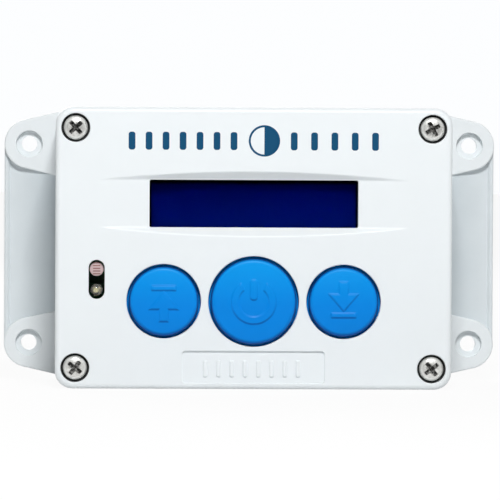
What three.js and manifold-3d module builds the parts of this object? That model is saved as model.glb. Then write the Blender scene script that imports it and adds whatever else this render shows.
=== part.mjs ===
// Opener unit of an automatic coop door: a wall-mounted case with a display,
// three push buttons, a light sensor, batteries, and a geared motor that winds
// the door's cord on a spool. Millimetres, +Z up. The front faces -Y, the wall
// is the plane y = 0, and the origin is the centre of the back face.

import * as THREE from 'three';
import { mergeVertices } from 'three/addons/utils/BufferGeometryUtils.js';
import Module from 'manifold-3d';

const wasm = await Module();
wasm.setup();

// ---------------------------------------------------------------- clearances
const SEAT = 0.25; // between fixed pieces that lie on each other
const RUN = 0.3; // round pieces that turn or slide
const REACH = 1; // how far a cutter runs past the face it opens

// ---------------------------------------------------------------- case
const CASE_WIDTH = 124;
const CASE_HEIGHT = 88;
const CASE_DEPTH = 60;
const CASE_CORNER = 5.5;
const CASE_WALL = 2.5;
const BACK_WALL = 3;
const LID_DEPTH = 16;
const LID_EDGE = 1.6; // rounding of the lid's front edge
const GASKET_THICKNESS = 1.2;
const GASKET_INSET = 0.4; // its edges lie inside the case walls' faces
const RIM_WIDTH = 1.7; // gasket's width along the rim

const HALF_WIDTH = CASE_WIDTH / 2;
const HALF_HEIGHT = CASE_HEIGHT / 2;
const FACE_Y = -CASE_DEPTH;
const LID_INNER_Y = FACE_Y + CASE_WALL;
const FLOOR_Z = CASE_WALL - HALF_HEIGHT;
const RIM_Y = LID_DEPTH - CASE_DEPTH;
const GASKET_BACK_Y = RIM_Y - SEAT;
const LID_BACK_Y = GASKET_BACK_Y - GASKET_THICKNESS - SEAT;
const INNER_CORNER = CASE_CORNER - CASE_WALL;

// ---------------------------------------------------------------- wings
const WING_REACH = 17; // past the case, each side
const WING_THICKNESS = 3;
const WING_BOSS_HEIGHT = 6;
const WING_RIM_HEIGHT = 4;
const WING_RIM_WIDTH = 1.8;
const WING_TAPER_DEG = 13;
const MOUNT_OUTSET_X = 9; // hole's distance from the case's side
const MOUNT_INSET_Z = 12; // hole's distance below the case's top
const MOUNT_HOLE_RADIUS = 2.5;
const MOUNT_SINK_RADIUS = 4.2;
const MOUNT_SINK_DEPTH = 2.2;

const MOUNT_X = HALF_WIDTH + MOUNT_OUTSET_X;
const MOUNT_Z = HALF_HEIGHT - MOUNT_INSET_Z;
const WING_BOSS_RADIUS = WING_REACH - MOUNT_OUTSET_X;

// ---------------------------------------------------------------- lid screws
const SCREW_INSET_X = 6.25;
const SCREW_INSET_Z = 6.5;
const SCREW_BOSS_RADIUS = 6;
const SCREW_SHANK_RADIUS = 1.9;
const SCREW_HEAD_RADIUS = 3.8;
const SCREW_HEAD_HEIGHT = 2.6;
const SCREW_LENGTH = 20; // below the head
const COUNTERBORE_RADIUS = 4.5;
const COUNTERBORE_DEPTH = 3;
const CROSS_SPAN = 4.4;
const CROSS_WIDTH = 1;
const CROSS_DEPTH = 1.4;

// ---------------------------------------------------------------- display
const SCOOP_HALF_SPAN = 47.3;
const SCOOP_DEPTH = 2.7;
const SCOOP_STEPS = 14;
const DISPLAY_Z = 13.9;
const DISPLAY_WIDTH = 65.3;
const DISPLAY_HEIGHT = 14.9;
const DISPLAY_CORNER = 0.5;
const WINDOW_LIP = 2.2; // window's overlap behind the opening, each side
const WINDOW_THICKNESS = 1.2;
const WINDOW_FLOOR = 1.6; // lid left between the scoop and the window
const WINDOW_FRAME = 2; // wall round the window's pocket
const BEZEL_WIDTH = 71.2;
const BEZEL_HEIGHT = 24.2;
const BEZEL_DEPTH = 6.2;
const BEZEL_SHEET = 0.6;
const GLASS_THICKNESS = 2.8;
const LCD_BOARD_WIDTH = 80;
const LCD_BOARD_HEIGHT = 36;
const LCD_HOLE_SPACING_X = 75;
const LCD_HOLE_SPACING_Z = 31;
const STAKE_RADIUS = 1.2;
const STAKE_POST_RADIUS = 2.4;
const HEADER_WIDTH = 40.6;
const HEADER_HEIGHT = 2.5;
const BOARD_THICKNESS = 1.6;

const WINDOW_FRONT_Y = FACE_Y + SCOOP_DEPTH + WINDOW_FLOOR + SEAT;
const WINDOW_BACK_Y = WINDOW_FRONT_Y + WINDOW_THICKNESS;
const BEZEL_FRONT_Y = WINDOW_BACK_Y + SEAT;
const LCD_BOARD_FRONT_Y = BEZEL_FRONT_Y + BEZEL_DEPTH + SEAT;
const LCD_BOARD_BACK_Y = LCD_BOARD_FRONT_Y + BOARD_THICKNESS;

// ---------------------------------------------------------------- main board
const BOARD_WIDTH = 108;
const BOARD_HEIGHT = 61;
const BOARD_GAP = 2.9; // between the display's board and the main board
const BOARD_POST_X = 46;
const BOARD_POST_Z = 26.5;
const BOARD_POST_RADIUS = 3;
const BOARD_PIN_RADIUS = 1.3;
const BOARD_PILOT_DEPTH = 9;
const BOARD_SCREW_HEAD_RADIUS = 2.6;
const BOARD_SCREW_HEAD_HEIGHT = 1.8;
const BOARD_SCREW_LENGTH = 8;

const BOARD_FRONT_Y = LCD_BOARD_BACK_Y + BOARD_GAP;
const BOARD_BACK_Y = BOARD_FRONT_Y + BOARD_THICKNESS;

// ---------------------------------------------------------------- buttons
const BUTTON_Z = -16.6;
const SIDE_BUTTON_X = 28.1;
const SIDE_BUTTON_HOLE = 11.6;
const POWER_BUTTON_HOLE = 14.15;
const BUTTON_GAP = 0.55;
const BUTTON_PROUD = 0.9;
const BUTTON_DOME = 0.5;
const BUTTON_EDGE = 1.1;
const BUTTON_FLANGE = 1.3;
const BUTTON_FLANGE_THICKNESS = 1.2;
const BUTTON_SKIRT = 1.6;
const BUTTON_ROOF = 1.7;
const BUTTON_STEM_RADIUS = 2.4;
const ICON_RELIEF = 0.3;
const SWITCH_SIZE = 6;
const SWITCH_HEIGHT = 3.5;
const PLUNGER_RADIUS = 1.7;
const PLUNGER_SUNK = 1.2; // length of plunger inside the switch at rest
const PLUNGER_PROUD = 2.5;
const PLUNGER_WELL = 2.2; // depth of the switch's bore

// ---------------------------------------------------------------- sensor slot
const SLOT_X = -49.05;
const SLOT_Z = -9.9;
const SLOT_WIDTH = 4.95;
const SLOT_HEIGHT = 12.2;
const SENSOR_OFFSET_Z = 3.25;
const LED_OFFSET_Z = -3.4;
const SENSOR_RADIUS = 2.2;
const SENSOR_THICKNESS = 2;
const LED_RADIUS = 1.5;
const LED_FLANGE_RADIUS = 1.85;
const LED_LENGTH = 4.5;
const PART_RECESS = 1.6; // sensor and lamp lie this far behind the lid's face
const LEG_WIDTH = 0.5;
const LEG_SPACING = 2.54;

// ---------------------------------------------------------------- label
const LABEL_WIDTH = 44.4;
const LABEL_HEIGHT = 10;
const LABEL_Z = -37.1;
const LABEL_DEPTH = 0.8;

// ---------------------------------------------------------------- batteries
const CELL_RADIUS = 7.1;
const CELL_LENGTH = 49.2;
const CELL_NUB_RADIUS = 2.7;
const CELL_NUB_LENGTH = 1.2;
const CELL_GAP = 0.6; // between neighbouring cells
const CELL_PITCH = 2 * CELL_RADIUS + CELL_GAP;
const CELL_COUNT = 4;
const HOLDER_WALL = 1.2;
const CRADLE_DEPTH = 6; // of the ribs between the cells, from the holder's back
const CONTACT_SHEET = 0.5;
const SPRING_LENGTH = 3.4;
const SPRING_RADIUS = 3;
const BUMP_LENGTH = 0.6;
const BUMP_RADIUS = 2;
const CONTACT_WIDTH = 11;
const CONTACT_DEPTH = 12;

const HOLDER_LEFT_X = CASE_WALL + SEAT - HALF_WIDTH;
const HOLDER_BACK_Y = -BACK_WALL - SEAT;
const CELL_Y = HOLDER_BACK_Y - HOLDER_WALL - RUN - CELL_RADIUS;
const CONTACT_LEFT_X = HOLDER_LEFT_X + HOLDER_WALL + SEAT + CONTACT_SHEET;
const CELL_SPACE = SPRING_LENGTH + CELL_LENGTH + CELL_NUB_LENGTH + BUMP_LENGTH + 2 * SEAT;
const CONTACT_RIGHT_X = CONTACT_LEFT_X + CELL_SPACE;
const HOLDER_RIGHT_X = CONTACT_RIGHT_X + CONTACT_SHEET + SEAT + HOLDER_WALL;
const HOLDER_HALF_HEIGHT = ((CELL_COUNT - 1) / 2) * CELL_PITCH + CELL_RADIUS + RUN + HOLDER_WALL;

// ---------------------------------------------------------------- drive
const GEAR_MODULE = 0.5;
const PRESSURE_DEG = 25;
const WHEEL_TEETH = 42;
const PINION_TEETH = 12;
const ADDENDUM = 0.9;
const DEDENDUM = 1.25;
const TOOTH_THINNING = 0.12;
const DRIVE_GAP = 1.05; // from the wheels to the ribs that hold the gearbox plates
const SPOOL_Z = -22;
const PLATE_LEFT_X = 4;
const PLATE_THICKNESS = 2;
const LAYER_GAP = 0.6;
const OUTPUT_FACE = 4;
const MIDDLE_FACE = 3.2;
const INPUT_FACE = 2.6;
const HUB_RADIUS = 2.2;
const PLATE_MARGIN = 1.8; // of plate round its corner holes
const PLATE_ROUND = 4;
const PIN_RADIUS = 1;
const SPACER_RADIUS = 2.6;
const SPACER_END_RADIUS = 1.4;
const SPOOL_SHAFT_RADIUS = 2;
const SHAFT_FLAT = 1.4; // from the axis to the flat
const SHAFT_END = 1.5; // shaft's length past its last bearing
const DRUM_RADIUS = 8;
const DRUM_WIDTH = 11;
const FLANGE_RADIUS = 12.5;
const FLANGE_WIDTH = 1.6;
const CORD_HOLE_RADIUS = 1.1;
const BUSH_RADIUS = 4;
const BUSH_COLLAR = 5;
const BUSH_COLLAR_WIDTH = 1.2;
const PEDESTAL_WIDTH = 3;
const PEDESTAL_MARGIN = 5;
const RAIL_WIDTH = 1.6; // ribs that hold the gearbox plates
const RAIL_DEPTH = 5;
const RAIL_LENGTH = 8;

const WHEEL_RADIUS = (GEAR_MODULE * WHEEL_TEETH) / 2;
const PINION_RADIUS = (GEAR_MODULE * PINION_TEETH) / 2;
const CENTRE_DISTANCE = WHEEL_RADIUS + PINION_RADIUS;
const WHEEL_TIP = WHEEL_RADIUS + ADDENDUM * GEAR_MODULE;
const DRIVE_Y = -(BACK_WALL + RAIL_DEPTH + DRIVE_GAP + WHEEL_TIP);
const SPACER_OFFSET = (WHEEL_TIP + SPACER_RADIUS + RUN) * Math.SQRT1_2;
const PLATE_HALF_WIDTH = SPACER_OFFSET + SPACER_END_RADIUS + PLATE_MARGIN;
const IDLER_2_Z = SPOOL_Z + CENTRE_DISTANCE;
const IDLER_1_Z = IDLER_2_Z + CENTRE_DISTANCE;
const MOTOR_Z = IDLER_1_Z + CENTRE_DISTANCE;
const OUTPUT_X = PLATE_LEFT_X + PLATE_THICKNESS + LAYER_GAP;
const MIDDLE_X = OUTPUT_X + OUTPUT_FACE + LAYER_GAP;
const INPUT_X = MIDDLE_X + MIDDLE_FACE + LAYER_GAP;
const PLATE_RIGHT_X = INPUT_X + INPUT_FACE + LAYER_GAP;
const GEARBOX_END_X = PLATE_RIGHT_X + PLATE_THICKNESS;
const SPOOL_GAP = 2.4; // from the gearbox to the spool
const SPOOL_X = GEARBOX_END_X + SPOOL_GAP;
const SPOOL_END_X = SPOOL_X + DRUM_WIDTH + 2 * FLANGE_WIDTH;
const CORD_X = SPOOL_X + FLANGE_WIDTH + DRUM_WIDTH / 2;
const BUSH_X = SPOOL_END_X + RUN;
const PEDESTAL_X = BUSH_X + BUSH_COLLAR_WIDTH + SEAT;
const PEDESTAL_END_X = PEDESTAL_X + PEDESTAL_WIDTH;

// ---------------------------------------------------------------- motor
const MOTOR_RADIUS = 10;
const MOTOR_FLAT = 7.7; // half the can's size across its flats
const MOTOR_LENGTH = 20;
const MOTOR_NOSE_RADIUS = 3;
const MOTOR_BORE_DEPTH = 9;
const MOTOR_CAP_LENGTH = 4.6;
const MOTOR_TAB = [0.6, 2, 3]; // thickness, width and length of a terminal
const MOTOR_TAB_OFFSET = 5.6;

// ---------------------------------------------------------------- cord outlet
const EYELET_BORE = 3.5;
const EYELET_BARREL = 5;
const EYELET_FLANGE = 7;
const EYELET_FLANGE_THICKNESS = 1.4;
const EYELET_INSIDE = 1.6; // barrel's length above the case's floor

// ---------------------------------------------------------------- facets
const FINE = 32;
const MEDIUM = 16;
const COARSE = 12;

// ---------------------------------------------------------------- finishes
const FINISHES = {
  shell: { color: 0xe9eff3, roughness: 0.45, metalness: 0 },
  wall: { color: 0xcfd8dc, roughness: 0.5, metalness: 0 },
  blue: { color: 0x0a8ce0, roughness: 0.35, metalness: 0 },
  black: { color: 0x1c1d20, roughness: 0.5, metalness: 0 },
  seal: { color: 0x3a3d40, roughness: 0.8, metalness: 0 },
  steel: { color: 0xb9bdc2, roughness: 0.3, metalness: 1 },
  brass: { color: 0xc8a24a, roughness: 0.3, metalness: 1 },
  board: { color: 0x1f6b3c, roughness: 0.5, metalness: 0 },
  clear: { color: 0xdfe8ee, roughness: 0.1, metalness: 0 },
  glass: { color: 0x05104a, roughness: 0.15, metalness: 0 },
  gear: { color: 0xf0ead8, roughness: 0.5, metalness: 0 },
  cell: { color: 0x2c6fb5, roughness: 0.35, metalness: 0.2 },
  cadmium: { color: 0xd8a79a, roughness: 0.5, metalness: 0 },
  red: { color: 0xb3261e, roughness: 0.5, metalness: 0 },
};

// ---------------------------------------------------------------- solids
const unit = new THREE.Group();

function signedVolume(points, triangles) {
  const corners = [new THREE.Vector3(), new THREE.Vector3(), new THREE.Vector3()];
  let total = 0;
  for (let i = 0; i < triangles.length; i += 3) {
    corners.forEach((corner, k) => corner.fromArray(points, 3 * triangles[i + k]));
    total += corners[0].dot(corners[1].cross(corners[2]));
  }
  return total;
}

// A closed three.js geometry as a solid whose faces point out.
function solid(geometry) {
  geometry.deleteAttribute('normal');
  geometry.deleteAttribute('uv');
  const merged = mergeVertices(geometry, 1e-5);
  const points = merged.attributes.position.array;
  const triangles = [];
  for (let i = 0; i < merged.index.count; i += 3) {
    const [a, b, c] = merged.index.array.slice(i, i + 3);
    if (a !== b && b !== c && c !== a) triangles.push(a, b, c);
  }
  if (signedVolume(points, triangles) < 0) triangles.reverse();
  const triVerts = new Uint32Array(triangles);
  return new wasm.Manifold(new wasm.Mesh({ numProp: 3, vertProperties: points, triVerts }));
}

const joined = (...solids) => solids.reduce((sum, next) => sum.add(next));
const cut = (body, ...cutters) => body.subtract(joined(...cutters));

function piece(name, shape, finish) {
  const { vertProperties, triVerts } = shape.getMesh();
  const geometry = new THREE.BufferGeometry();
  geometry.setAttribute('position', new THREE.BufferAttribute(vertProperties, 3));
  geometry.setIndex(new THREE.BufferAttribute(triVerts, 1));
  geometry.computeVertexNormals();
  const mesh = new THREE.Mesh(geometry, new THREE.MeshStandardMaterial(FINISHES[finish]));
  mesh.name = name;
  unit.add(mesh);
  return mesh;
}

// ---------------------------------------------------------------- shapes
function block(x, y, z) {
  const size = [x, y, z].map(([low, high]) => high - low);
  const geometry = new THREE.BoxGeometry(...size);
  geometry.translate(...[x, y, z].map(([low, high]) => (low + high) / 2));
  return solid(geometry);
}

const about = (centre, width) => [centre - width / 2, centre + width / 2];

// Turns a geometry that was built about the Y axis so that it lies about another.
function turnedTo(axis, geometry) {
  if (axis === 'x') geometry.rotateZ(-Math.PI / 2);
  if (axis === 'z') geometry.rotateX(Math.PI / 2);
  return geometry;
}

// A cylinder along an axis, from one coordinate to another on that axis.
function rod(axis, radius, [from, to], [x, y, z], facets = COARSE) {
  const geometry = new THREE.CylinderGeometry(radius, radius, to - from, facets);
  turnedTo(axis, geometry);
  const centre = { x, y, z, [axis]: (from + to) / 2 };
  geometry.translate(centre.x, centre.y, centre.z);
  return solid(geometry);
}

// A turned piece: its profile is a list of [radius, place along the axis].
function turnedPiece(axis, profile, [x, y, z], facets = MEDIUM) {
  const points = profile.map(([radius, along]) => new THREE.Vector2(radius, along));
  const geometry = turnedTo(axis, new THREE.LatheGeometry(points, facets));
  geometry.translate(x, y, z);
  return solid(geometry);
}

function roundedRect(width, height, radius, cx = 0, cy = 0) {
  const right = width / 2 - radius;
  const top = height / 2 - radius;
  const quarter = Math.PI / 2;
  const shape = new THREE.Shape();
  shape.absarc(cx + right, cy + top, radius, 0, quarter);
  shape.absarc(cx - right, cy + top, radius, quarter, 2 * quarter);
  shape.absarc(cx - right, cy - top, radius, 2 * quarter, 3 * quarter);
  shape.absarc(cx + right, cy - top, radius, 3 * quarter, 4 * quarter);
  return shape;
}

// Extrudes an X-Z outline from a back plane towards the front.
function frontward(shape, backY, frontY, curveSegments = 4) {
  const options = { depth: backY - frontY, bevelEnabled: false, curveSegments };
  const geometry = new THREE.ExtrudeGeometry(shape, options);
  geometry.rotateX(Math.PI / 2);
  geometry.translate(0, backY, 0);
  return solid(geometry);
}

// Extrudes a Y-Z outline along +X.
function sideways(shape, [from, to], curveSegments = 4) {
  const options = { depth: to - from, bevelEnabled: false, curveSegments };
  const geometry = new THREE.ExtrudeGeometry(shape, options);
  const [alongY, alongZ] = [new THREE.Vector3(0, 1, 0), new THREE.Vector3(0, 0, 1)];
  const turn = new THREE.Matrix4().makeBasis(alongY, alongZ, new THREE.Vector3(1, 0, 0));
  geometry.applyMatrix4(turn);
  geometry.translate(from, 0, 0);
  return solid(geometry);
}

// A closed body through loops of equal length, each convex and listed in turn.
function loft(loops) {
  const count = loops[0].length;
  const points = loops.flat();
  const triangles = [];
  for (let loop = 0; loop < loops.length - 1; loop += 1) {
    for (let k = 0; k < count; k += 1) {
      const [a, b] = [loop * count + k, loop * count + ((k + 1) % count)];
      triangles.push(a, b, b + count, a, b + count, a + count);
    }
  }
  const last = (loops.length - 1) * count;
  for (let k = 1; k < count - 1; k += 1) {
    triangles.push(0, k + 1, k, last, last + k, last + k + 1);
  }
  const geometry = new THREE.BufferGeometry();
  geometry.setAttribute('position', new THREE.Float32BufferAttribute(points.flat(), 3));
  geometry.setIndex(triangles);
  return solid(geometry);
}

// ---------------------------------------------------------------- case
const SIDES = [-1, 1];
const CORNERS = SIDES.flatMap((sz) => SIDES.map((sx) => [sx, sz]));
const atCorners = (x, z, make) => CORNERS.map(([sx, sz]) => make(sx * x, sz * z, sx, sz));
const SCREW_X = HALF_WIDTH - SCREW_INSET_X;
const SCREW_Z = HALF_HEIGHT - SCREW_INSET_Z;
const SCREW_SEAT_Y = FACE_Y + COUNTERBORE_DEPTH;
const SCREW_END_Y = SCREW_SEAT_Y + SCREW_LENGTH;

function caseBlock(inset, backY, frontY) {
  const corner = Math.max(CASE_CORNER - inset, INNER_CORNER);
  const outline = roundedRect(CASE_WIDTH - 2 * inset, CASE_HEIGHT - 2 * inset, corner);
  return frontward(outline, backY, frontY);
}

// Where an edge that tapers towards the hole meets the case, and where it
// touches the round boss.
function wingEdge() {
  const taper = THREE.MathUtils.degToRad(WING_TAPER_DEG);
  const rootX = HALF_WIDTH - CASE_WALL / 2;
  const touchX = MOUNT_X + WING_BOSS_RADIUS * Math.sin(taper);
  const rise = WING_BOSS_RADIUS * Math.cos(taper);
  return { taper, rootX, rootRise: rise + (touchX - rootX) * Math.tan(taper) };
}

function wingPlate() {
  const { taper, rootX, rootRise } = wingEdge();
  const shape = new THREE.Shape();
  shape.absarc(MOUNT_X, -MOUNT_Z, WING_BOSS_RADIUS, taper - Math.PI / 2, 0);
  shape.absarc(MOUNT_X, MOUNT_Z, WING_BOSS_RADIUS, 0, Math.PI / 2 - taper);
  shape.lineTo(rootX, MOUNT_Z + rootRise);
  shape.lineTo(rootX, -MOUNT_Z - rootRise);
  return frontward(shape, 0, -WING_THICKNESS);
}

function wingBoss(side) {
  const { taper, rootX, rootRise } = wingEdge();
  const shape = new THREE.Shape();
  const z = side * MOUNT_Z;
  shape.absarc(MOUNT_X, z, WING_BOSS_RADIUS, taper - Math.PI / 2, Math.PI / 2 - taper);
  shape.lineTo(rootX, z + rootRise);
  shape.lineTo(rootX, z - rootRise);
  return frontward(shape, 0, -WING_BOSS_HEIGHT);
}

function wing(side) {
  const outerX = HALF_WIDTH + WING_REACH;
  const rim = block([outerX - WING_RIM_WIDTH, outerX], [-WING_RIM_HEIGHT, 0], [-MOUNT_Z, MOUNT_Z]);
  const right = joined(wingPlate(), ...SIDES.map(wingBoss), rim);
  return side > 0 ? right : right.mirror([1, 0, 0]);
}

function mountHole(x, z) {
  const place = [x, 0, z];
  const sinkY = MOUNT_SINK_DEPTH - WING_BOSS_HEIGHT;
  const sink = rod('y', MOUNT_SINK_RADIUS, [-WING_BOSS_HEIGHT - REACH, sinkY], place, MEDIUM);
  return sink.add(rod('y', MOUNT_HOLE_RADIUS, [sinkY - REACH, REACH], place, MEDIUM));
}

// Two ribs either side of each gearbox plate, near its top and its bottom.
function plateRails() {
  const rails = [];
  const ends = [SPOOL_Z - PLATE_HALF_WIDTH + RAIL_LENGTH, MOTOR_Z + PLATE_HALF_WIDTH - RAIL_LENGTH];
  for (const plateX of [PLATE_LEFT_X, PLATE_RIGHT_X]) {
    for (const side of SIDES) {
      const offset = side * (PLATE_THICKNESS / 2 + SEAT + RAIL_WIDTH / 2);
      const x = about(plateX + PLATE_THICKNESS / 2 + offset, RAIL_WIDTH);
      const y = [-BACK_WALL - RAIL_DEPTH, REACH - BACK_WALL];
      ends.forEach((z) => rails.push(block(x, y, about(z, RAIL_LENGTH))));
    }
  }
  return rails;
}

function pedestal() {
  const y = [DRIVE_Y - BUSH_RADIUS - PEDESTAL_MARGIN, REACH - BACK_WALL];
  const z = [FLOOR_Z - REACH, SPOOL_Z + BUSH_RADIUS + PEDESTAL_MARGIN];
  const post = block([PEDESTAL_X, PEDESTAL_END_X], y, z);
  const seat = [PEDESTAL_X - REACH, PEDESTAL_END_X + REACH];
  return post.subtract(rod('x', BUSH_RADIUS + SEAT, seat, [0, DRIVE_Y, SPOOL_Z], MEDIUM));
}

const CORD_Y = DRIVE_Y - DRUM_RADIUS;
const EYELET_SUNK = EYELET_FLANGE_THICKNESS + SEAT;

function eyeletSeat() {
  const place = [CORD_X, CORD_Y, 0];
  const outside = [-HALF_HEIGHT - REACH, EYELET_SUNK - HALF_HEIGHT];
  const flange = rod('z', EYELET_FLANGE + SEAT, outside, place, MEDIUM);
  const barrel = [-HALF_HEIGHT, FLOOR_Z + 2 * EYELET_INSIDE];
  return flange.add(rod('z', EYELET_BARREL + SEAT, barrel, place, MEDIUM));
}

function eyeletBoss() {
  const y = about(CORD_Y, 2 * (EYELET_FLANGE + CASE_WALL));
  const x = about(CORD_X, 2 * (EYELET_FLANGE + CASE_WALL));
  return block(x, y, [FLOOR_Z - REACH, FLOOR_Z + EYELET_INSIDE]);
}

function baseHousing() {
  const hollow = caseBlock(CASE_WALL, -BACK_WALL, RIM_Y - REACH);
  const shell = caseBlock(0, 0, RIM_Y).subtract(hollow);
  const bosses = atCorners(SCREW_X, SCREW_Z, (x, z) =>
    rod('y', SCREW_BOSS_RADIUS, [RIM_Y, REACH - BACK_WALL], [x, 0, z], MEDIUM));
  const inside = joined(...bosses, ...plateRails(), pedestal(), eyeletBoss());
  const kept = inside.intersect(caseBlock(CASE_WALL / 2, -BACK_WALL / 2, RIM_Y));
  const pilots = atCorners(SCREW_X, SCREW_Z, (x, z) =>
    rod('y', SCREW_SHANK_RADIUS + SEAT, [RIM_Y - REACH, SCREW_END_Y + SEAT], [x, 0, z]));
  const mountHoles = atCorners(MOUNT_X, MOUNT_Z, mountHole);
  const whole = joined(shell, kept, ...SIDES.map(wing));
  return cut(whole, ...pilots, ...mountHoles, eyeletSeat());
}

function gasket() {
  const outer = caseBlock(GASKET_INSET, GASKET_BACK_Y, GASKET_BACK_Y - GASKET_THICKNESS);
  const inset = GASKET_INSET + RIM_WIDTH;
  return outer.subtract(caseBlock(inset, GASKET_BACK_Y + REACH, LID_BACK_Y - REACH));
}

// The lid's block, with its front edge rounded over.
function lidBlock() {
  const backY = LID_BACK_Y + 2 * LID_EDGE;
  const geometry = new THREE.ExtrudeGeometry(roundedRect(CASE_WIDTH, CASE_HEIGHT, CASE_CORNER), {
    depth: backY - FACE_Y - 2 * LID_EDGE,
    bevelThickness: LID_EDGE,
    bevelSize: LID_EDGE,
    bevelOffset: -LID_EDGE,
    bevelSegments: 2,
    curveSegments: 4,
  });
  geometry.rotateX(Math.PI / 2);
  geometry.translate(0, backY - LID_EDGE, 0);
  return solid(geometry).intersect(caseBlock(0, LID_BACK_Y, FACE_Y - REACH));
}

const scoopDepth = (x) => SCOOP_DEPTH * (1 - (x / SCOOP_HALF_SPAN) ** 2);

// The scoop's floor is part of a wide cylinder, and its top and bottom walls
// slope out at 45 degrees. The loop at each x goes round the scoop's section.
function scoopCutter() {
  const loops = [];
  for (let step = 0; step <= SCOOP_STEPS; step += 1) {
    const x = SCOOP_HALF_SPAN * ((2 * step) / SCOOP_STEPS - 1);
    const floorY = FACE_Y + scoopDepth(x);
    const low = DISPLAY_HEIGHT / 2;
    const wide = low + scoopDepth(x) + REACH;
    const section = [[floorY, low], [FACE_Y - REACH, wide], [FACE_Y - REACH, -wide], [floorY, -low]];
    loops.push(section.map(([y, z]) => [x, y, DISPLAY_Z + z]));
  }
  return loft(loops);
}

const displayShape = (width, height) => roundedRect(width, height, DISPLAY_CORNER, 0, DISPLAY_Z);
const atDisplay = (shape, backY, frontY) => frontward(shape, backY, frontY, 1);
const WINDOW_WIDTH = DISPLAY_WIDTH + 2 * WINDOW_LIP;
const WINDOW_HEIGHT = DISPLAY_HEIGHT + 2 * WINDOW_LIP;

function windowFrame() {
  const frame = 2 * (SEAT + WINDOW_FRAME);
  const outline = displayShape(WINDOW_WIDTH + frame, WINDOW_HEIGHT + frame);
  return atDisplay(outline, WINDOW_BACK_Y, LID_INNER_Y - REACH / 2);
}

function windowOpening() {
  const pocket = displayShape(WINDOW_WIDTH + 2 * SEAT, WINDOW_HEIGHT + 2 * SEAT);
  const sight = displayShape(DISPLAY_WIDTH, DISPLAY_HEIGHT);
  const back = atDisplay(pocket, WINDOW_BACK_Y + REACH, WINDOW_FRONT_Y - SEAT);
  return back.add(atDisplay(sight, WINDOW_BACK_Y, FACE_Y - REACH));
}

function stakePost(x, offsetZ) {
  const place = [x, 0, DISPLAY_Z + offsetZ];
  const post = [LID_INNER_Y - REACH / 2, LCD_BOARD_FRONT_Y - SEAT];
  const pin = [post[1] - REACH, LCD_BOARD_BACK_Y + 2 * SEAT];
  return rod('y', STAKE_POST_RADIUS, post, place).add(rod('y', STAKE_RADIUS, pin, place));
}

const slotShape = () => roundedRect(SLOT_WIDTH, SLOT_HEIGHT, SLOT_WIDTH / 2 - 0.01, SLOT_X, SLOT_Z);

const BUTTONS = [
  { name: 'up', x: -SIDE_BUTTON_X, hole: SIDE_BUTTON_HOLE },
  { name: 'power', x: 0, hole: POWER_BUTTON_HOLE },
  { name: 'down', x: SIDE_BUTTON_X, hole: SIDE_BUTTON_HOLE },
];

function lidCutters() {
  const through = [FACE_Y - REACH, LID_INNER_Y + REACH];
  const holes = BUTTONS.map(({ x, hole }) => rod('y', hole, through, [x, 0, BUTTON_Z], FINE));
  const screwHoles = atCorners(SCREW_X, SCREW_Z, (x, z) => {
    const place = [x, 0, z];
    const bore = rod('y', SCREW_SHANK_RADIUS + SEAT, [FACE_Y, LID_BACK_Y + REACH], place);
    return bore.add(rod('y', COUNTERBORE_RADIUS, [FACE_Y - REACH, SCREW_SEAT_Y], place, MEDIUM));
  });
  const pilots = SIDES.map((side) => {
    const pilot = [BOARD_FRONT_Y - BOARD_PILOT_DEPTH, BOARD_FRONT_Y];
    return rod('y', BOARD_PIN_RADIUS + SEAT, pilot, [side * BOARD_POST_X, 0, -BOARD_POST_Z]);
  });
  const label = roundedRect(LABEL_WIDTH, LABEL_HEIGHT, 1, 0, LABEL_Z);
  const labelCut = frontward(label, FACE_Y + LABEL_DEPTH, FACE_Y - REACH);
  const slot = frontward(slotShape(), through[1], through[0]);
  return [...holes, ...screwHoles, ...pilots, labelCut, slot, scoopCutter(), windowOpening()];
}

function lid() {
  const shell = lidBlock().subtract(caseBlock(CASE_WALL, LID_BACK_Y + REACH, LID_INNER_Y));
  const bosses = atCorners(SCREW_X, SCREW_Z, (x, z) =>
    rod('y', SCREW_BOSS_RADIUS, [LID_INNER_Y - REACH / 2, LID_BACK_Y], [x, 0, z], MEDIUM));
  const posts = atCorners(BOARD_POST_X, BOARD_POST_Z, (x, z) =>
    rod('y', BOARD_POST_RADIUS, [LID_INNER_Y - REACH / 2, BOARD_FRONT_Y - SEAT], [x, 0, z]));
  const pins = SIDES.map((side) => {
    const length = [BOARD_FRONT_Y - REACH, BOARD_BACK_Y + REACH];
    return rod('y', BOARD_PIN_RADIUS, length, [side * BOARD_POST_X, 0, BOARD_POST_Z]);
  });
  const stakes = atCorners(LCD_HOLE_SPACING_X / 2, LCD_HOLE_SPACING_Z / 2, stakePost);
  const inside = joined(...bosses, ...posts, ...pins, ...stakes, windowFrame());
  const kept = inside.intersect(caseBlock(CASE_WALL / 2, BOARD_BACK_Y + 2 * REACH, FACE_Y + REACH));
  return cut(shell.add(kept), ...lidCutters());
}

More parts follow.
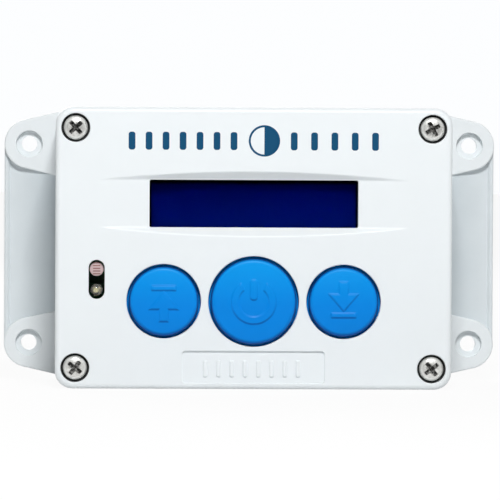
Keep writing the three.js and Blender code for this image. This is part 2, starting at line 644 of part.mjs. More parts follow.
function lidScrew(x, z) {
  const headY = SCREW_SEAT_Y - SEAT;
  const profile = [
    [0, headY - SCREW_HEAD_HEIGHT],
    [SCREW_HEAD_RADIUS * 0.62, headY - SCREW_HEAD_HEIGHT * 0.93],
    [SCREW_HEAD_RADIUS * 0.9, headY - SCREW_HEAD_HEIGHT * 0.62],
    [SCREW_HEAD_RADIUS, headY - SCREW_HEAD_HEIGHT * 0.25],
    [SCREW_HEAD_RADIUS, headY],
    [SCREW_SHANK_RADIUS, headY],
    [SCREW_SHANK_RADIUS, SCREW_END_Y - SCREW_SHANK_RADIUS],
    [SCREW_SHANK_RADIUS / 2, SCREW_END_Y],
    [0, SCREW_END_Y],
  ];
  const screw = turnedPiece('y', profile, [x, 0, z]);
  const y = [headY - SCREW_HEAD_HEIGHT - REACH, headY - SCREW_HEAD_HEIGHT + CROSS_DEPTH];
  const across = block(about(x, CROSS_SPAN), y, about(z, CROSS_WIDTH));
  return cut(screw, across, block(about(x, CROSS_WIDTH), y, about(z, CROSS_SPAN)));
}

piece('base_housing', baseHousing(), 'wall');
piece('lid', lid(), 'shell');
piece('lid_gasket', gasket(), 'seal');
atCorners(SCREW_X, SCREW_Z, lidScrew).forEach((screw, i) => piece(`lid_screw_${i + 1}`, screw, 'steel'));

// ---------------------------------------------------------------- display
function display() {
  const window = atDisplay(displayShape(WINDOW_WIDTH, WINDOW_HEIGHT), WINDOW_BACK_Y, WINDOW_FRONT_Y);
  const backY = BEZEL_FRONT_Y + BEZEL_DEPTH;
  const inner = [BEZEL_WIDTH, BEZEL_HEIGHT].map((size) => size - 2 * BEZEL_SHEET);
  const sheetY = BEZEL_FRONT_Y + BEZEL_SHEET;
  const hollow = atDisplay(displayShape(...inner), backY + REACH, sheetY);
  const sight = atDisplay(displayShape(DISPLAY_WIDTH, DISPLAY_HEIGHT), backY, BEZEL_FRONT_Y - REACH);
  const tray = atDisplay(displayShape(BEZEL_WIDTH, BEZEL_HEIGHT), backY, BEZEL_FRONT_Y);
  const glassY = sheetY + SEAT;
  const glassSize = inner.map((size) => size - 2 * SEAT);
  piece('display_window', window, 'clear');
  piece('lcd_bezel', cut(tray, hollow, sight), 'black');
  piece('lcd_glass', atDisplay(displayShape(...glassSize), glassY + GLASS_THICKNESS, glassY), 'glass');
}

function displayBoard() {
  const board = displayShape(LCD_BOARD_WIDTH, LCD_BOARD_HEIGHT);
  const through = [LCD_BOARD_FRONT_Y - REACH, LCD_BOARD_BACK_Y + REACH];
  const holes = atCorners(LCD_HOLE_SPACING_X / 2, LCD_HOLE_SPACING_Z / 2, (x, z) =>
    rod('y', STAKE_RADIUS + SEAT, through, [x, 0, DISPLAY_Z + z]));
  const headerY = [LCD_BOARD_BACK_Y + SEAT, BOARD_FRONT_Y - SEAT];
  const headerZ = about(BOARD_HEIGHT / 2 - HEADER_HEIGHT, HEADER_HEIGHT);
  piece('lcd_board', cut(atDisplay(board, LCD_BOARD_BACK_Y, LCD_BOARD_FRONT_Y), ...holes), 'board');
  piece('lcd_header', block(about(0, HEADER_WIDTH), headerY, headerZ), 'black');
}

// ---------------------------------------------------------------- main board
function boardScrew(side) {
  const seat = BOARD_BACK_Y + SEAT;
  const profile = [
    [0, seat - BOARD_THICKNESS - BOARD_SCREW_LENGTH],
    [BOARD_PIN_RADIUS, seat - BOARD_THICKNESS - BOARD_SCREW_LENGTH + BOARD_PIN_RADIUS],
    [BOARD_PIN_RADIUS, seat],
    [BOARD_SCREW_HEAD_RADIUS, seat],
    [BOARD_SCREW_HEAD_RADIUS * 0.9, seat + BOARD_SCREW_HEAD_HEIGHT * 0.7],
    [BOARD_SCREW_HEAD_RADIUS * 0.5, seat + BOARD_SCREW_HEAD_HEIGHT],
    [0, seat + BOARD_SCREW_HEAD_HEIGHT],
  ];
  return turnedPiece('y', profile, [side * BOARD_POST_X, 0, -BOARD_POST_Z], COARSE);
}

// Parts that stand on the board's back, by footprint, height and place.
const BOARD_PARTS = [
  { name: 'microcontroller', size: [12, 12], height: 1.6, at: [-12, 6], finish: 'black' },
  { name: 'power_connector', size: [8, 5], height: 6, at: [-40, 20], finish: 'clear' },
  { name: 'motor_connector', size: [8, 5], height: 6, at: [46, -2], finish: 'clear' },
];
const PART_SEAT_Y = BOARD_BACK_Y + SEAT;
const BUZZER = { radius: 6, height: 7.5, at: [-36, -14], hole: 1 };

function mainBoard() {
  const board = frontward(roundedRect(BOARD_WIDTH, BOARD_HEIGHT, 2), BOARD_BACK_Y, BOARD_FRONT_Y);
  const through = [BOARD_FRONT_Y - REACH, BOARD_BACK_Y + REACH];
  const holes = atCorners(BOARD_POST_X, BOARD_POST_Z, (x, z) =>
    rod('y', BOARD_PIN_RADIUS + SEAT, through, [x, 0, z]));
  piece('main_board', cut(board, ...holes), 'board');
  SIDES.forEach((side, i) => piece(`board_screw_${i + 1}`, boardScrew(side), 'steel'));
  for (const { name, size, height, at, finish } of BOARD_PARTS) {
    const y = [PART_SEAT_Y, PART_SEAT_Y + height];
    piece(name, block(about(at[0], size[0]), y, about(at[1], size[1])), finish);
  }
  const place = [BUZZER.at[0], 0, BUZZER.at[1]];
  const top = PART_SEAT_Y + BUZZER.height;
  const sound = rod('y', BUZZER.hole, [top - REACH, top + REACH], place);
  piece('buzzer', rod('y', BUZZER.radius, [PART_SEAT_Y, top], place, MEDIUM).subtract(sound), 'black');
}

// Two wire legs from a part's back to the board.
function legs(z, fromY) {
  const y = [fromY - REACH, BOARD_FRONT_Y - SEAT];
  return SIDES.map((side) =>
    block(about(SLOT_X + (side * LEG_SPACING) / 2, LEG_WIDTH), y, about(z, LEG_WIDTH)));
}

function lightParts() {
  const frontY = FACE_Y + PART_RECESS;
  const sensorZ = SLOT_Z + SENSOR_OFFSET_Z;
  const sensorBack = frontY + SENSOR_THICKNESS;
  const disc = rod('y', SENSOR_RADIUS, [frontY, sensorBack], [SLOT_X, 0, sensorZ], MEDIUM);
  const ledZ = SLOT_Z + LED_OFFSET_Z;
  const ledBack = frontY + LED_LENGTH;
  const profile = [
    [0, frontY],
    [LED_RADIUS * 0.6, frontY + LED_RADIUS * 0.2],
    [LED_RADIUS, frontY + LED_RADIUS],
    [LED_RADIUS, ledBack - 1],
    [LED_FLANGE_RADIUS, ledBack - 1],
    [LED_FLANGE_RADIUS, ledBack],
    [0, ledBack],
  ];
  const lamp = turnedPiece('y', profile, [SLOT_X, 0, ledZ], COARSE);
  piece('light_sensor', joined(disc, ...legs(sensorZ, sensorBack)), 'cadmium');
  piece('status_led', joined(lamp, ...legs(ledZ, ledBack)), 'clear');
}

// ---------------------------------------------------------------- buttons
const SWITCH_BACK_Y = BOARD_FRONT_Y - SEAT;
const SWITCH_FRONT_Y = SWITCH_BACK_Y - SWITCH_HEIGHT;
const PLUNGER_TIP_Y = SWITCH_FRONT_Y - PLUNGER_PROUD;

function polygon(points, x, z) {
  return new THREE.Shape(points.map(([u, v]) => new THREE.Vector2(x + u, z + v)));
}

function reliefOf(shape) {
  const crownY = FACE_Y - BUTTON_PROUD - BUTTON_DOME;
  return frontward(shape, crownY + BUTTON_ROOF / 2, crownY - ICON_RELIEF, 4);
}

// An arrow with a bar at its tip: up where turn is 1, down where it is -1.
function arrowIcon(x, turn) {
  const right = [[4.5, -2.5], [1.35, -2.5], [1.35, -6.2]];
  const left = right.map(([u, v]) => [-u, v]).reverse();
  const head = [[0, 2.8], ...right, ...left];
  const bar = [[-3.8, 3.4], [3.8, 3.4], [3.8, 4.7], [-3.8, 4.7]];
  const placed = (points) => {
    const turned = points.map(([u, v]) => [turn * u, turn * v]);
    return reliefOf(polygon(turned, x, BUTTON_Z));
  };
  return placed(head).add(placed(bar));
}

function powerIcon(x) {
  const gap = 0.62; // half the ring's opening at the top, in radians
  const top = Math.PI / 2;
  const ring = new THREE.Shape();
  ring.absarc(x, BUTTON_Z, 7, top + gap, top - gap + 2 * Math.PI);
  ring.absarc(x, BUTTON_Z, 4.7, top - gap, top + gap, true);
  const bar = polygon([[-1.05, 0.6], [1.05, 0.6], [1.05, 6.8], [-1.05, 6.8]], x, BUTTON_Z);
  return reliefOf(ring).add(reliefOf(bar));
}

const ICONS = {
  up: (x) => arrowIcon(x, 1),
  power: powerIcon,
  down: (x) => arrowIcon(x, -1),
};

function buttonCap({ name, x, hole }) {
  const radius = hole - BUTTON_GAP;
  const rimY = FACE_Y - BUTTON_PROUD;
  const flangeY = LID_INNER_Y + RUN;
  const flangeBackY = flangeY + BUTTON_FLANGE_THICKNESS;
  const stemY = PLUNGER_TIP_Y - SEAT;
  const profile = [
    [0, rimY - BUTTON_DOME],
    [radius * 0.5, rimY - BUTTON_DOME * 0.8],
    [radius - BUTTON_EDGE, rimY],
    [radius - BUTTON_EDGE * 0.3, rimY + BUTTON_EDGE * 0.35],
    [radius, rimY + BUTTON_EDGE],
    [radius, flangeY],
    [radius + BUTTON_FLANGE, flangeY],
    [radius + BUTTON_FLANGE, flangeBackY],
    [radius - BUTTON_SKIRT, flangeBackY],
    [radius - BUTTON_SKIRT, rimY + BUTTON_ROOF],
    [BUTTON_STEM_RADIUS, rimY + BUTTON_ROOF],
    [BUTTON_STEM_RADIUS, stemY],
    [0, stemY],
  ];
  return turnedPiece('y', profile, [x, 0, BUTTON_Z], FINE).add(ICONS[name](x));
}

function tactSwitch({ name, x }) {
  const place = [x, 0, BUTTON_Z];
  const body = block(about(x, SWITCH_SIZE), [SWITCH_FRONT_Y, SWITCH_BACK_Y], about(BUTTON_Z, SWITCH_SIZE));
  const well = [SWITCH_FRONT_Y - REACH, SWITCH_FRONT_Y + PLUNGER_WELL];
  const plunger = [PLUNGER_TIP_Y, SWITCH_FRONT_Y + PLUNGER_SUNK];
  piece(`${name}_switch_body`, body.subtract(rod('y', PLUNGER_RADIUS + RUN, well, place)), 'black');
  piece(`${name}_switch_plunger`, rod('y', PLUNGER_RADIUS, plunger, place), 'steel');
}

// ---------------------------------------------------------------- batteries
const cellZ = (index) => (index - (CELL_COUNT - 1) / 2) * CELL_PITCH;
const cellFacesRight = (index) => index % 2 === 0;

function batteryHolder() {
  const z = [-HOLDER_HALF_HEIGHT, HOLDER_HALF_HEIGHT];
  const endDepth = HOLDER_WALL + RUN + 2 * CELL_RADIUS;
  const x = [HOLDER_LEFT_X, HOLDER_RIGHT_X];
  const tray = block(x, [HOLDER_BACK_Y - CRADLE_DEPTH, HOLDER_BACK_Y], z);
  const ends = [
    block([HOLDER_LEFT_X, HOLDER_LEFT_X + HOLDER_WALL], [HOLDER_BACK_Y - endDepth, HOLDER_BACK_Y], z),
    block([HOLDER_RIGHT_X - HOLDER_WALL, HOLDER_RIGHT_X], [HOLDER_BACK_Y - endDepth, HOLDER_BACK_Y], z),
  ];
  const cutters = [];
  for (let i = 0; i < CELL_COUNT; i += 1) {
    const groove = [CONTACT_LEFT_X - REACH / 2, CONTACT_RIGHT_X + REACH / 2];
    cutters.push(rod('x', CELL_RADIUS + RUN, groove, [0, CELL_Y, cellZ(i)], MEDIUM));
  }
  const endY = [HOLDER_BACK_Y - CRADLE_DEPTH - REACH, HOLDER_BACK_Y - HOLDER_WALL];
  const endZ = [HOLDER_WALL - HOLDER_HALF_HEIGHT, HOLDER_HALF_HEIGHT - HOLDER_WALL];
  const leftRoom = [HOLDER_LEFT_X + HOLDER_WALL, CONTACT_LEFT_X + SPRING_LENGTH];
  const rightRoom = [CONTACT_RIGHT_X - SPRING_LENGTH, HOLDER_RIGHT_X - HOLDER_WALL];
  cutters.push(block(leftRoom, endY, endZ), block(rightRoom, endY, endZ));
  return cut(joined(tray, ...ends), ...cutters);
}

function cell(index) {
  const sign = cellFacesRight(index) ? 1 : -1;
  const profile = [
    [0, 0],
    [CELL_RADIUS - 0.5, 0],
    [CELL_RADIUS, 0.5],
    [CELL_RADIUS, CELL_LENGTH - 0.6],
    [CELL_RADIUS - 0.6, CELL_LENGTH],
    [CELL_NUB_RADIUS, CELL_LENGTH],
    [CELL_NUB_RADIUS, CELL_LENGTH + CELL_NUB_LENGTH],
    [0, CELL_LENGTH + CELL_NUB_LENGTH],
  ];
  const flatEnd = SPRING_LENGTH + SEAT;
  const start = sign > 0 ? CONTACT_LEFT_X + flatEnd : CONTACT_RIGHT_X - flatEnd;
  const placed = profile.map(([radius, along]) => [radius, sign * along]);
  return turnedPiece('x', placed, [start, CELL_Y, cellZ(index)]);
}

// A contact's sheet over the ends of one or two cells, with a conical spring at
// a cell's flat end and a low bump at its nub.
function contact(cells, atRight) {
  const face = atRight ? CONTACT_RIGHT_X : CONTACT_LEFT_X;
  const inward = atRight ? -1 : 1;
  const sheetX = [face, face - inward * CONTACT_SHEET].sort((a, b) => a - b);
  const low = cellZ(Math.min(...cells)) - CONTACT_WIDTH / 2;
  const high = cellZ(Math.max(...cells)) + CONTACT_WIDTH / 2;
  const sheet = block(sheetX, about(CELL_Y, CONTACT_DEPTH), [low, high]);
  const ends = cells.map((index) => {
    const nubHere = cellFacesRight(index) === atRight;
    const length = nubHere ? BUMP_LENGTH : SPRING_LENGTH;
    const radius = nubHere ? BUMP_RADIUS : SPRING_RADIUS;
    const root = -CONTACT_SHEET / 2;
    const profile = [[0, root], [radius, root], [radius * 0.7, length], [0, length]];
    const placed = profile.map(([r, along]) => [r, inward * along]);
    return turnedPiece('x', placed, [face, CELL_Y, cellZ(index)], COARSE);
  });
  return joined(sheet, ...ends);
}

function batteries() {
  piece('battery_holder', batteryHolder(), 'black');
  for (let i = 0; i < CELL_COUNT; i += 1) {
    piece(`battery_${i + 1}`, cell(i), 'cell');
  }
  piece('contact_negative', contact([0], false), 'steel');
  for (let i = 0; i < CELL_COUNT - 1; i += 1) {
    piece(`contact_bridge_${i + 1}`, contact([i, i + 1], i % 2 === 0), 'steel');
  }
  piece('contact_positive', contact([CELL_COUNT - 1], false), 'steel');
}

// ---------------------------------------------------------------- drive
const involute = (angle) => Math.tan(angle) - angle;

// A spur gear's outline, as seen along -X: a tooth is centred on +Y when the
// phase is 0. Each flank has the given radii between its root and its tip.
function gearOutline(teeth, flankSteps, y, z, phase = 0) {
  const pitch = (GEAR_MODULE * teeth) / 2;
  const pressure = THREE.MathUtils.degToRad(PRESSURE_DEG);
  const base = pitch * Math.cos(pressure);
  const root = pitch - DEDENDUM * GEAR_MODULE;
  const tip = pitch + ADDENDUM * GEAR_MODULE;
  const half = Math.PI / (2 * teeth) - TOOTH_THINNING / (2 * pitch) + involute(pressure);
  const halfAt = (radius) => half - involute(Math.acos(Math.min(1, base / radius)));
  const first = Math.max(root, base);
  const radii = root < base ? [root] : [];
  for (let step = 0; step <= flankSteps; step += 1) {
    radii.push(first + ((tip - first) * step) / flankSteps);
  }
  const points = [];
  for (let tooth = 0; tooth < teeth; tooth += 1) {
    const centre = phase + (2 * Math.PI * tooth) / teeth;
    const at = (radius, angle) =>
      new THREE.Vector2(y + radius * Math.cos(centre + angle), z + radius * Math.sin(centre + angle));
    radii.forEach((radius) => points.push(at(radius, -halfAt(radius))));
    [...radii].reverse().forEach((radius) => points.push(at(radius, halfAt(radius))));
  }
  return new THREE.Shape(points);
}

// The phase that puts an upper gear in mesh with the lower one right under it,
// where the lower gear's phase is 0.
function meshPhase(lowerTeeth, upperTeeth) {
  const lowerPart = lowerTeeth / 4;
  return (3 * Math.PI) / 2 - ((0.5 - lowerPart) * 2 * Math.PI) / upperTeeth;
}

const shaftBore = (radius, x, z) => rod('x', radius, [x[0] - REACH, x[1] + REACH], [0, DRIVE_Y, z], COARSE);
const wheelAt = (x, z) => sideways(gearOutline(WHEEL_TEETH, 1, DRIVE_Y, z), x);
const pinionAt = (x, z) => {
  const phase = meshPhase(WHEEL_TEETH, PINION_TEETH);
  return sideways(gearOutline(PINION_TEETH, 2, DRIVE_Y, z, phase), x);
};

// A shaft's outline with one flat, wider all round by a clearance.
function flatShaft(clearance) {
  const radius = SPOOL_SHAFT_RADIUS + clearance;
  const start = Math.acos((SHAFT_FLAT + clearance) / radius);
  const shape = new THREE.Shape();
  shape.absarc(DRIVE_Y, SPOOL_Z, radius, start, 2 * Math.PI - start);
  return shape;
}

function idlerGears() {
  const insideLeft = PLATE_LEFT_X + PLATE_THICKNESS + RUN;
  const insideRight = PLATE_RIGHT_X - RUN;
  const lower = joined(
    pinionAt([OUTPUT_X, MIDDLE_X], IDLER_2_Z),
    wheelAt([MIDDLE_X, MIDDLE_X + MIDDLE_FACE], IDLER_2_Z),
    rod('x', HUB_RADIUS, [MIDDLE_X + MIDDLE_FACE, insideRight], [0, DRIVE_Y, IDLER_2_Z]),
  );
  const upper = joined(
    rod('x', HUB_RADIUS, [insideLeft, MIDDLE_X], [0, DRIVE_Y, IDLER_1_Z]),
    pinionAt([MIDDLE_X, INPUT_X], IDLER_1_Z),
    wheelAt([INPUT_X, INPUT_X + INPUT_FACE], IDLER_1_Z),
  );
  const run = [insideLeft, insideRight];
  piece('idler_gear_1', upper.subtract(shaftBore(PIN_RADIUS + RUN, run, IDLER_1_Z)), 'gear');
  piece('idler_gear_2', lower.subtract(shaftBore(PIN_RADIUS + RUN, run, IDLER_2_Z)), 'gear');
}

function gearboxPlate(x, noseRadius) {
  const back = HOLDER_BACK_Y;
  const front = DRIVE_Y - PLATE_HALF_WIDTH;
  const low = SPOOL_Z - PLATE_HALF_WIDTH;
  const high = MOTOR_Z + PLATE_HALF_WIDTH;
  const outline = roundedRect(back - front, high - low, PLATE_ROUND, (back + front) / 2, (low + high) / 2);
  const through = [x - REACH, x + PLATE_THICKNESS + REACH];
  const hole = (radius, y, z) => rod('x', radius, through, [0, y, z]);
  return cut(
    sideways(outline, [x, x + PLATE_THICKNESS], 3),
    hole(SPOOL_SHAFT_RADIUS + RUN, DRIVE_Y, SPOOL_Z),
    hole(PIN_RADIUS + SEAT, DRIVE_Y, IDLER_2_Z),
    hole(PIN_RADIUS + SEAT, DRIVE_Y, IDLER_1_Z),
    hole(noseRadius, DRIVE_Y, MOTOR_Z),
    ...SPACERS.map(([y, z]) => hole(SPACER_END_RADIUS + SEAT, y, z)),
  );
}

const SPACERS = [
  [DRIVE_Y - SPACER_OFFSET, MOTOR_Z + SPACER_OFFSET],
  [DRIVE_Y - SPACER_OFFSET, SPOOL_Z - SPACER_OFFSET],
];

function spacer([y, z]) {
  const inside = [PLATE_LEFT_X + PLATE_THICKNESS + SEAT, PLATE_RIGHT_X - SEAT];
  const ends = [PLATE_LEFT_X - SEAT, GEARBOX_END_X + SEAT];
  return rod('x', SPACER_RADIUS, inside, [0, y, z]).add(rod('x', SPACER_END_RADIUS, ends, [0, y, z]));
}

function gearbox() {
  piece('gearbox_plate_left', gearboxPlate(PLATE_LEFT_X, PIN_RADIUS + RUN), 'black');
  piece('gearbox_plate_right', gearboxPlate(PLATE_RIGHT_X, MOTOR_NOSE_RADIUS + SEAT), 'black');
  SPACERS.forEach((place, i) => piece(`gearbox_spacer_${i + 1}`, spacer(place), 'brass'));
  [IDLER_1_Z, IDLER_2_Z].forEach((z, i) => {
    const pin = rod('x', PIN_RADIUS, [PLATE_LEFT_X, GEARBOX_END_X], [0, DRIVE_Y, z]);
    piece(`idler_pin_${i + 1}`, pin, 'steel');
  });
}

function spoolPieces() {
  const flange = FLANGE_WIDTH + DRUM_WIDTH;
  const profile = [
    [0, 0], [FLANGE_RADIUS, 0], [FLANGE_RADIUS, FLANGE_WIDTH], [DRUM_RADIUS, FLANGE_WIDTH],
    [DRUM_RADIUS, flange], [FLANGE_RADIUS, flange], [FLANGE_RADIUS, flange + FLANGE_WIDTH],
    [0, flange + FLANGE_WIDTH],
  ];
  const drum = turnedPiece('x', profile, [SPOOL_X, DRIVE_Y, SPOOL_Z], FINE);
  const bore = sideways(flatShaft(SEAT), [SPOOL_X - REACH, SPOOL_END_X + REACH]);
  const knot = [0, DRIVE_Y + (DRUM_RADIUS + FLANGE_RADIUS) / 2, SPOOL_Z];
  const cordHole = rod('x', CORD_HOLE_RADIUS, [SPOOL_END_X - 2 * FLANGE_WIDTH, SPOOL_END_X + REACH], knot);
  const output = [OUTPUT_X, OUTPUT_X + OUTPUT_FACE];
  const gearBore = sideways(flatShaft(SEAT), [OUTPUT_X - REACH, OUTPUT_X + OUTPUT_FACE + REACH]);
  const shaft = [PLATE_LEFT_X - SHAFT_END, PEDESTAL_END_X + SHAFT_END];
  piece('output_gear', wheelAt(output, SPOOL_Z).subtract(gearBore), 'gear');
  piece('spool_shaft', sideways(flatShaft(0), shaft), 'steel');
  piece('spool', cut(drum, bore, cordHole), 'black');
}

function spoolBush() {
  const place = [0, DRIVE_Y, SPOOL_Z];
  const collar = rod('x', BUSH_COLLAR, [BUSH_X, BUSH_X + BUSH_COLLAR_WIDTH], place, MEDIUM);
  const barrel = rod('x', BUSH_RADIUS, [BUSH_X, PEDESTAL_END_X], place, MEDIUM);
  const bore = shaftBore(SPOOL_SHAFT_RADIUS + RUN, [BUSH_X, PEDESTAL_END_X], SPOOL_Z);
  return collar.add(barrel).subtract(bore);
}

// ---------------------------------------------------------------- motor
const MOTOR_X = GEARBOX_END_X + SEAT;
const MOTOR_END_X = MOTOR_X + MOTOR_LENGTH;
const MOTOR_CAP_X = MOTOR_END_X + SEAT;

function motorSection(inset) {
  const radius = MOTOR_RADIUS - inset;
  const start = Math.acos((MOTOR_FLAT - inset) / radius);
  const shape = new THREE.Shape();
  shape.absarc(DRIVE_Y, MOTOR_Z, radius, start, Math.PI - start);
  shape.absarc(DRIVE_Y, MOTOR_Z, radius, Math.PI + start, 2 * Math.PI - start);
  return shape;
}

function motor() {
  const place = [0, DRIVE_Y, MOTOR_Z];
  const noseX = GEARBOX_END_X - PLATE_THICKNESS + SEAT;
  const can = sideways(motorSection(0), [MOTOR_X, MOTOR_END_X]);
  const nose = rod('x', MOTOR_NOSE_RADIUS, [noseX, MOTOR_X + REACH], place);
  const bore = rod('x', PIN_RADIUS + RUN, [noseX - REACH, MOTOR_X + MOTOR_BORE_DEPTH], place);
  const [thickness, width, length] = MOTOR_TAB;
  const capEnd = MOTOR_CAP_X + MOTOR_CAP_LENGTH;
  const tabs = SIDES.map((side) => {
    const z = about(MOTOR_Z + side * MOTOR_TAB_OFFSET, width);
    return block([capEnd - REACH, capEnd + length], about(DRIVE_Y, thickness), z);
  });
  const face = [INPUT_X, INPUT_X + INPUT_FACE];
  const pinion = pinionAt(face, MOTOR_Z).subtract(shaftBore(PIN_RADIUS + SEAT, face, MOTOR_Z));
  const shaftEnd = MOTOR_X + MOTOR_BORE_DEPTH - RUN;
  piece('motor_can', cut(can.add(nose), bore), 'steel');
  piece('motor_end_cap', joined(sideways(motorSection(SEAT), [MOTOR_CAP_X, capEnd]), ...tabs), 'black');
  piece('motor_pinion', pinion, 'brass');
  piece('motor_shaft', rod('x', PIN_RADIUS, [INPUT_X, shaftEnd], place), 'steel');
}

// ---------------------------------------------------------------- cord outlet
function cordEyelet() {
  const place = [CORD_X, CORD_Y, 0];
  const bottom = EYELET_SUNK - SEAT - EYELET_FLANGE_THICKNESS - HALF_HEIGHT;
  const flange = rod('z', EYELET_FLANGE, [bottom, bottom + EYELET_FLANGE_THICKNESS], place, MEDIUM);
  const top = FLOOR_Z + 2 * EYELET_INSIDE;
  const barrel = rod('z', EYELET_BARREL, [bottom, top], place, MEDIUM);
  return flange.add(barrel).subtract(rod('z', EYELET_BORE, [bottom - REACH, top + REACH], place, MEDIUM));
}

// ---------------------------------------------------------------- leads
const BATTERY_LEAD_RADIUS = 0.65;
const MOTOR_LEAD_RADIUS = 0.9;
const LEAD_FACETS = 8;

function lead(points, radius) {
  const path = new THREE.CatmullRomCurve3(points.map((point) => new THREE.Vector3(...point)));
  const section = new THREE.Shape().absarc(0, 0, radius, 0, 2 * Math.PI);
  const steps = Math.ceil(path.getLength() / (6 * radius));
  const options = { steps, extrudePath: path, curveSegments: LEAD_FACETS };
  return solid(new THREE.ExtrudeGeometry(section, options));
}

// A lead from a battery contact's edge to its side of the power connector.
function batteryLead(index, side) {
  const { height, at } = BOARD_PARTS[1];
  const startX = CONTACT_LEFT_X + SEAT;
  const startY = CELL_Y - CONTACT_DEPTH / 2 - RUN;
  const endY = PART_SEAT_Y + height + RUN;
  const endX = at[0] + side * 2;
  const z = cellZ(index);
  const points = [
    [startX, startY, z],
    [startX, startY - 4, z],
    [(startX + endX) / 2, (startY + endY) / 2 - 2, (z + at[1]) / 2],
    [endX, endY + 5, at[1]],
    [endX, endY, at[1]],
  ];
  return lead(points, BATTERY_LEAD_RADIUS);
}

function motorLead() {
  const { height, at } = BOARD_PARTS[2];
  const tabEnd = MOTOR_CAP_X + MOTOR_CAP_LENGTH + MOTOR_TAB[2];
  const endY = PART_SEAT_Y + height + RUN;
  const startZ = MOTOR_Z - MOTOR_TAB_OFFSET;
  const points = [
    [tabEnd + RUN, DRIVE_Y, startZ],
    [tabEnd + 3, DRIVE_Y - 1, startZ - 1],
    [tabEnd + 3, (DRIVE_Y + endY) / 2, (startZ + at[1]) / 2],
    [at[0], endY + 4, at[1]],
    [at[0], endY, at[1]],
  ];
  return lead(points, MOTOR_LEAD_RADIUS);
}

display();
displayBoard();
mainBoard();
lightParts();
BUTTONS.forEach((button) => piece(`${button.name}_button`, buttonCap(button), 'blue'));
BUTTONS.forEach(tactSwitch);
batteries();
idlerGears();
gearbox();
spoolPieces();
piece('spool_bush', spoolBush(), 'brass');
motor();
piece('cord_eyelet', cordEyelet(), 'black');
piece('battery_lead_red', batteryLead(CELL_COUNT - 1, 1), 'red');
piece('battery_lead_black', batteryLead(0, -1), 'black');
piece('motor_lead', motorLead(), 'black');

export default unit;
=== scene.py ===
"""Looks of a wall-mounted opener unit for an automatic coop door.

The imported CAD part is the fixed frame. The shells, caps, screws and fittings
are rebuilt here as fine surfaces in the places that the frame gives, and every
CAD node that stays gets a procedural finish. Lengths are in millimetres until
a mesh is made, and the front of the unit faces -Y.
"""

from __future__ import annotations

import logging
import math
from dataclasses import dataclass, field
from enum import Enum
from typing import Callable, Iterable, Sequence

import bmesh
import bpy
import numpy as np
from mathutils import Euler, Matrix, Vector


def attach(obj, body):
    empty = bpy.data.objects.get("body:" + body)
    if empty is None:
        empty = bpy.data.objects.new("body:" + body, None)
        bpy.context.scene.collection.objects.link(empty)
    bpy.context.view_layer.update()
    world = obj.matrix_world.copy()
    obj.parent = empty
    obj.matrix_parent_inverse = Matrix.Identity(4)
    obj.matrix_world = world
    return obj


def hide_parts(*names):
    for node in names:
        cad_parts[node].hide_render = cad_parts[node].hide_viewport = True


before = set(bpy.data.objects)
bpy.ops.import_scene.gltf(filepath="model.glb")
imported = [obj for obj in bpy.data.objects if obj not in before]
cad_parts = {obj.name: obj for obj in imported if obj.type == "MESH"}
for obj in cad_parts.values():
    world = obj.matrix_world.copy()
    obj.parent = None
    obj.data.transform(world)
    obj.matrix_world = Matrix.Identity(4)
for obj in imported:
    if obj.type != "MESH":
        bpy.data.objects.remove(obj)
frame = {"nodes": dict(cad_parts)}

LOG = logging.getLogger("opener")
MM = 0.001
TAU = 2.0 * math.pi
MERGE_DISTANCE = 1e-6
CASE_BODY = "case"
FRONT = -60.0
BOARD_FACE = -43.3
BUTTON_Z = -16.6
DISPLAY_Z = 13.9
Pair = tuple[float, float]
Triple = tuple[float, float, float]
CASE_SIZE: Pair = (124.0, 88.0)
CASE_CORNER = 5.5
CASE_WALL = 2.5
SCREW_SPOTS: Pair = (55.75, 37.5)
BOARD_SPOTS: Pair = (46.0, 26.5)
STAKE_SPOTS: Pair = (37.5, 15.5)
WING_HOLE: Pair = (71.0, 32.0)
EYELET_SPOT: Pair = (29.7, -28.0)
SPOOL_AXIS: Triple = (0.0, -20.0, -22.0)
LIGHT_X = -49.05
CELL_Z = -6.65
BUTTON_HOLES: tuple[Pair, ...] = ((-28.1, 11.6), (0.0, 14.15), (28.1, 11.6))


class Axis(Enum):
    """The axis that a turned or drawn-out shape lies along."""

    X = 0
    Y = 1
    Z = 2

    @property
    def across(self) -> tuple[int, int]:
        """The numbers of the other two axes, in order."""
        first, second = (number for number in range(3) if number != self.value)
        return first, second


class Operation(Enum):
    """How one solid changes another."""

    CUT = "DIFFERENCE"
    JOIN = "UNION"


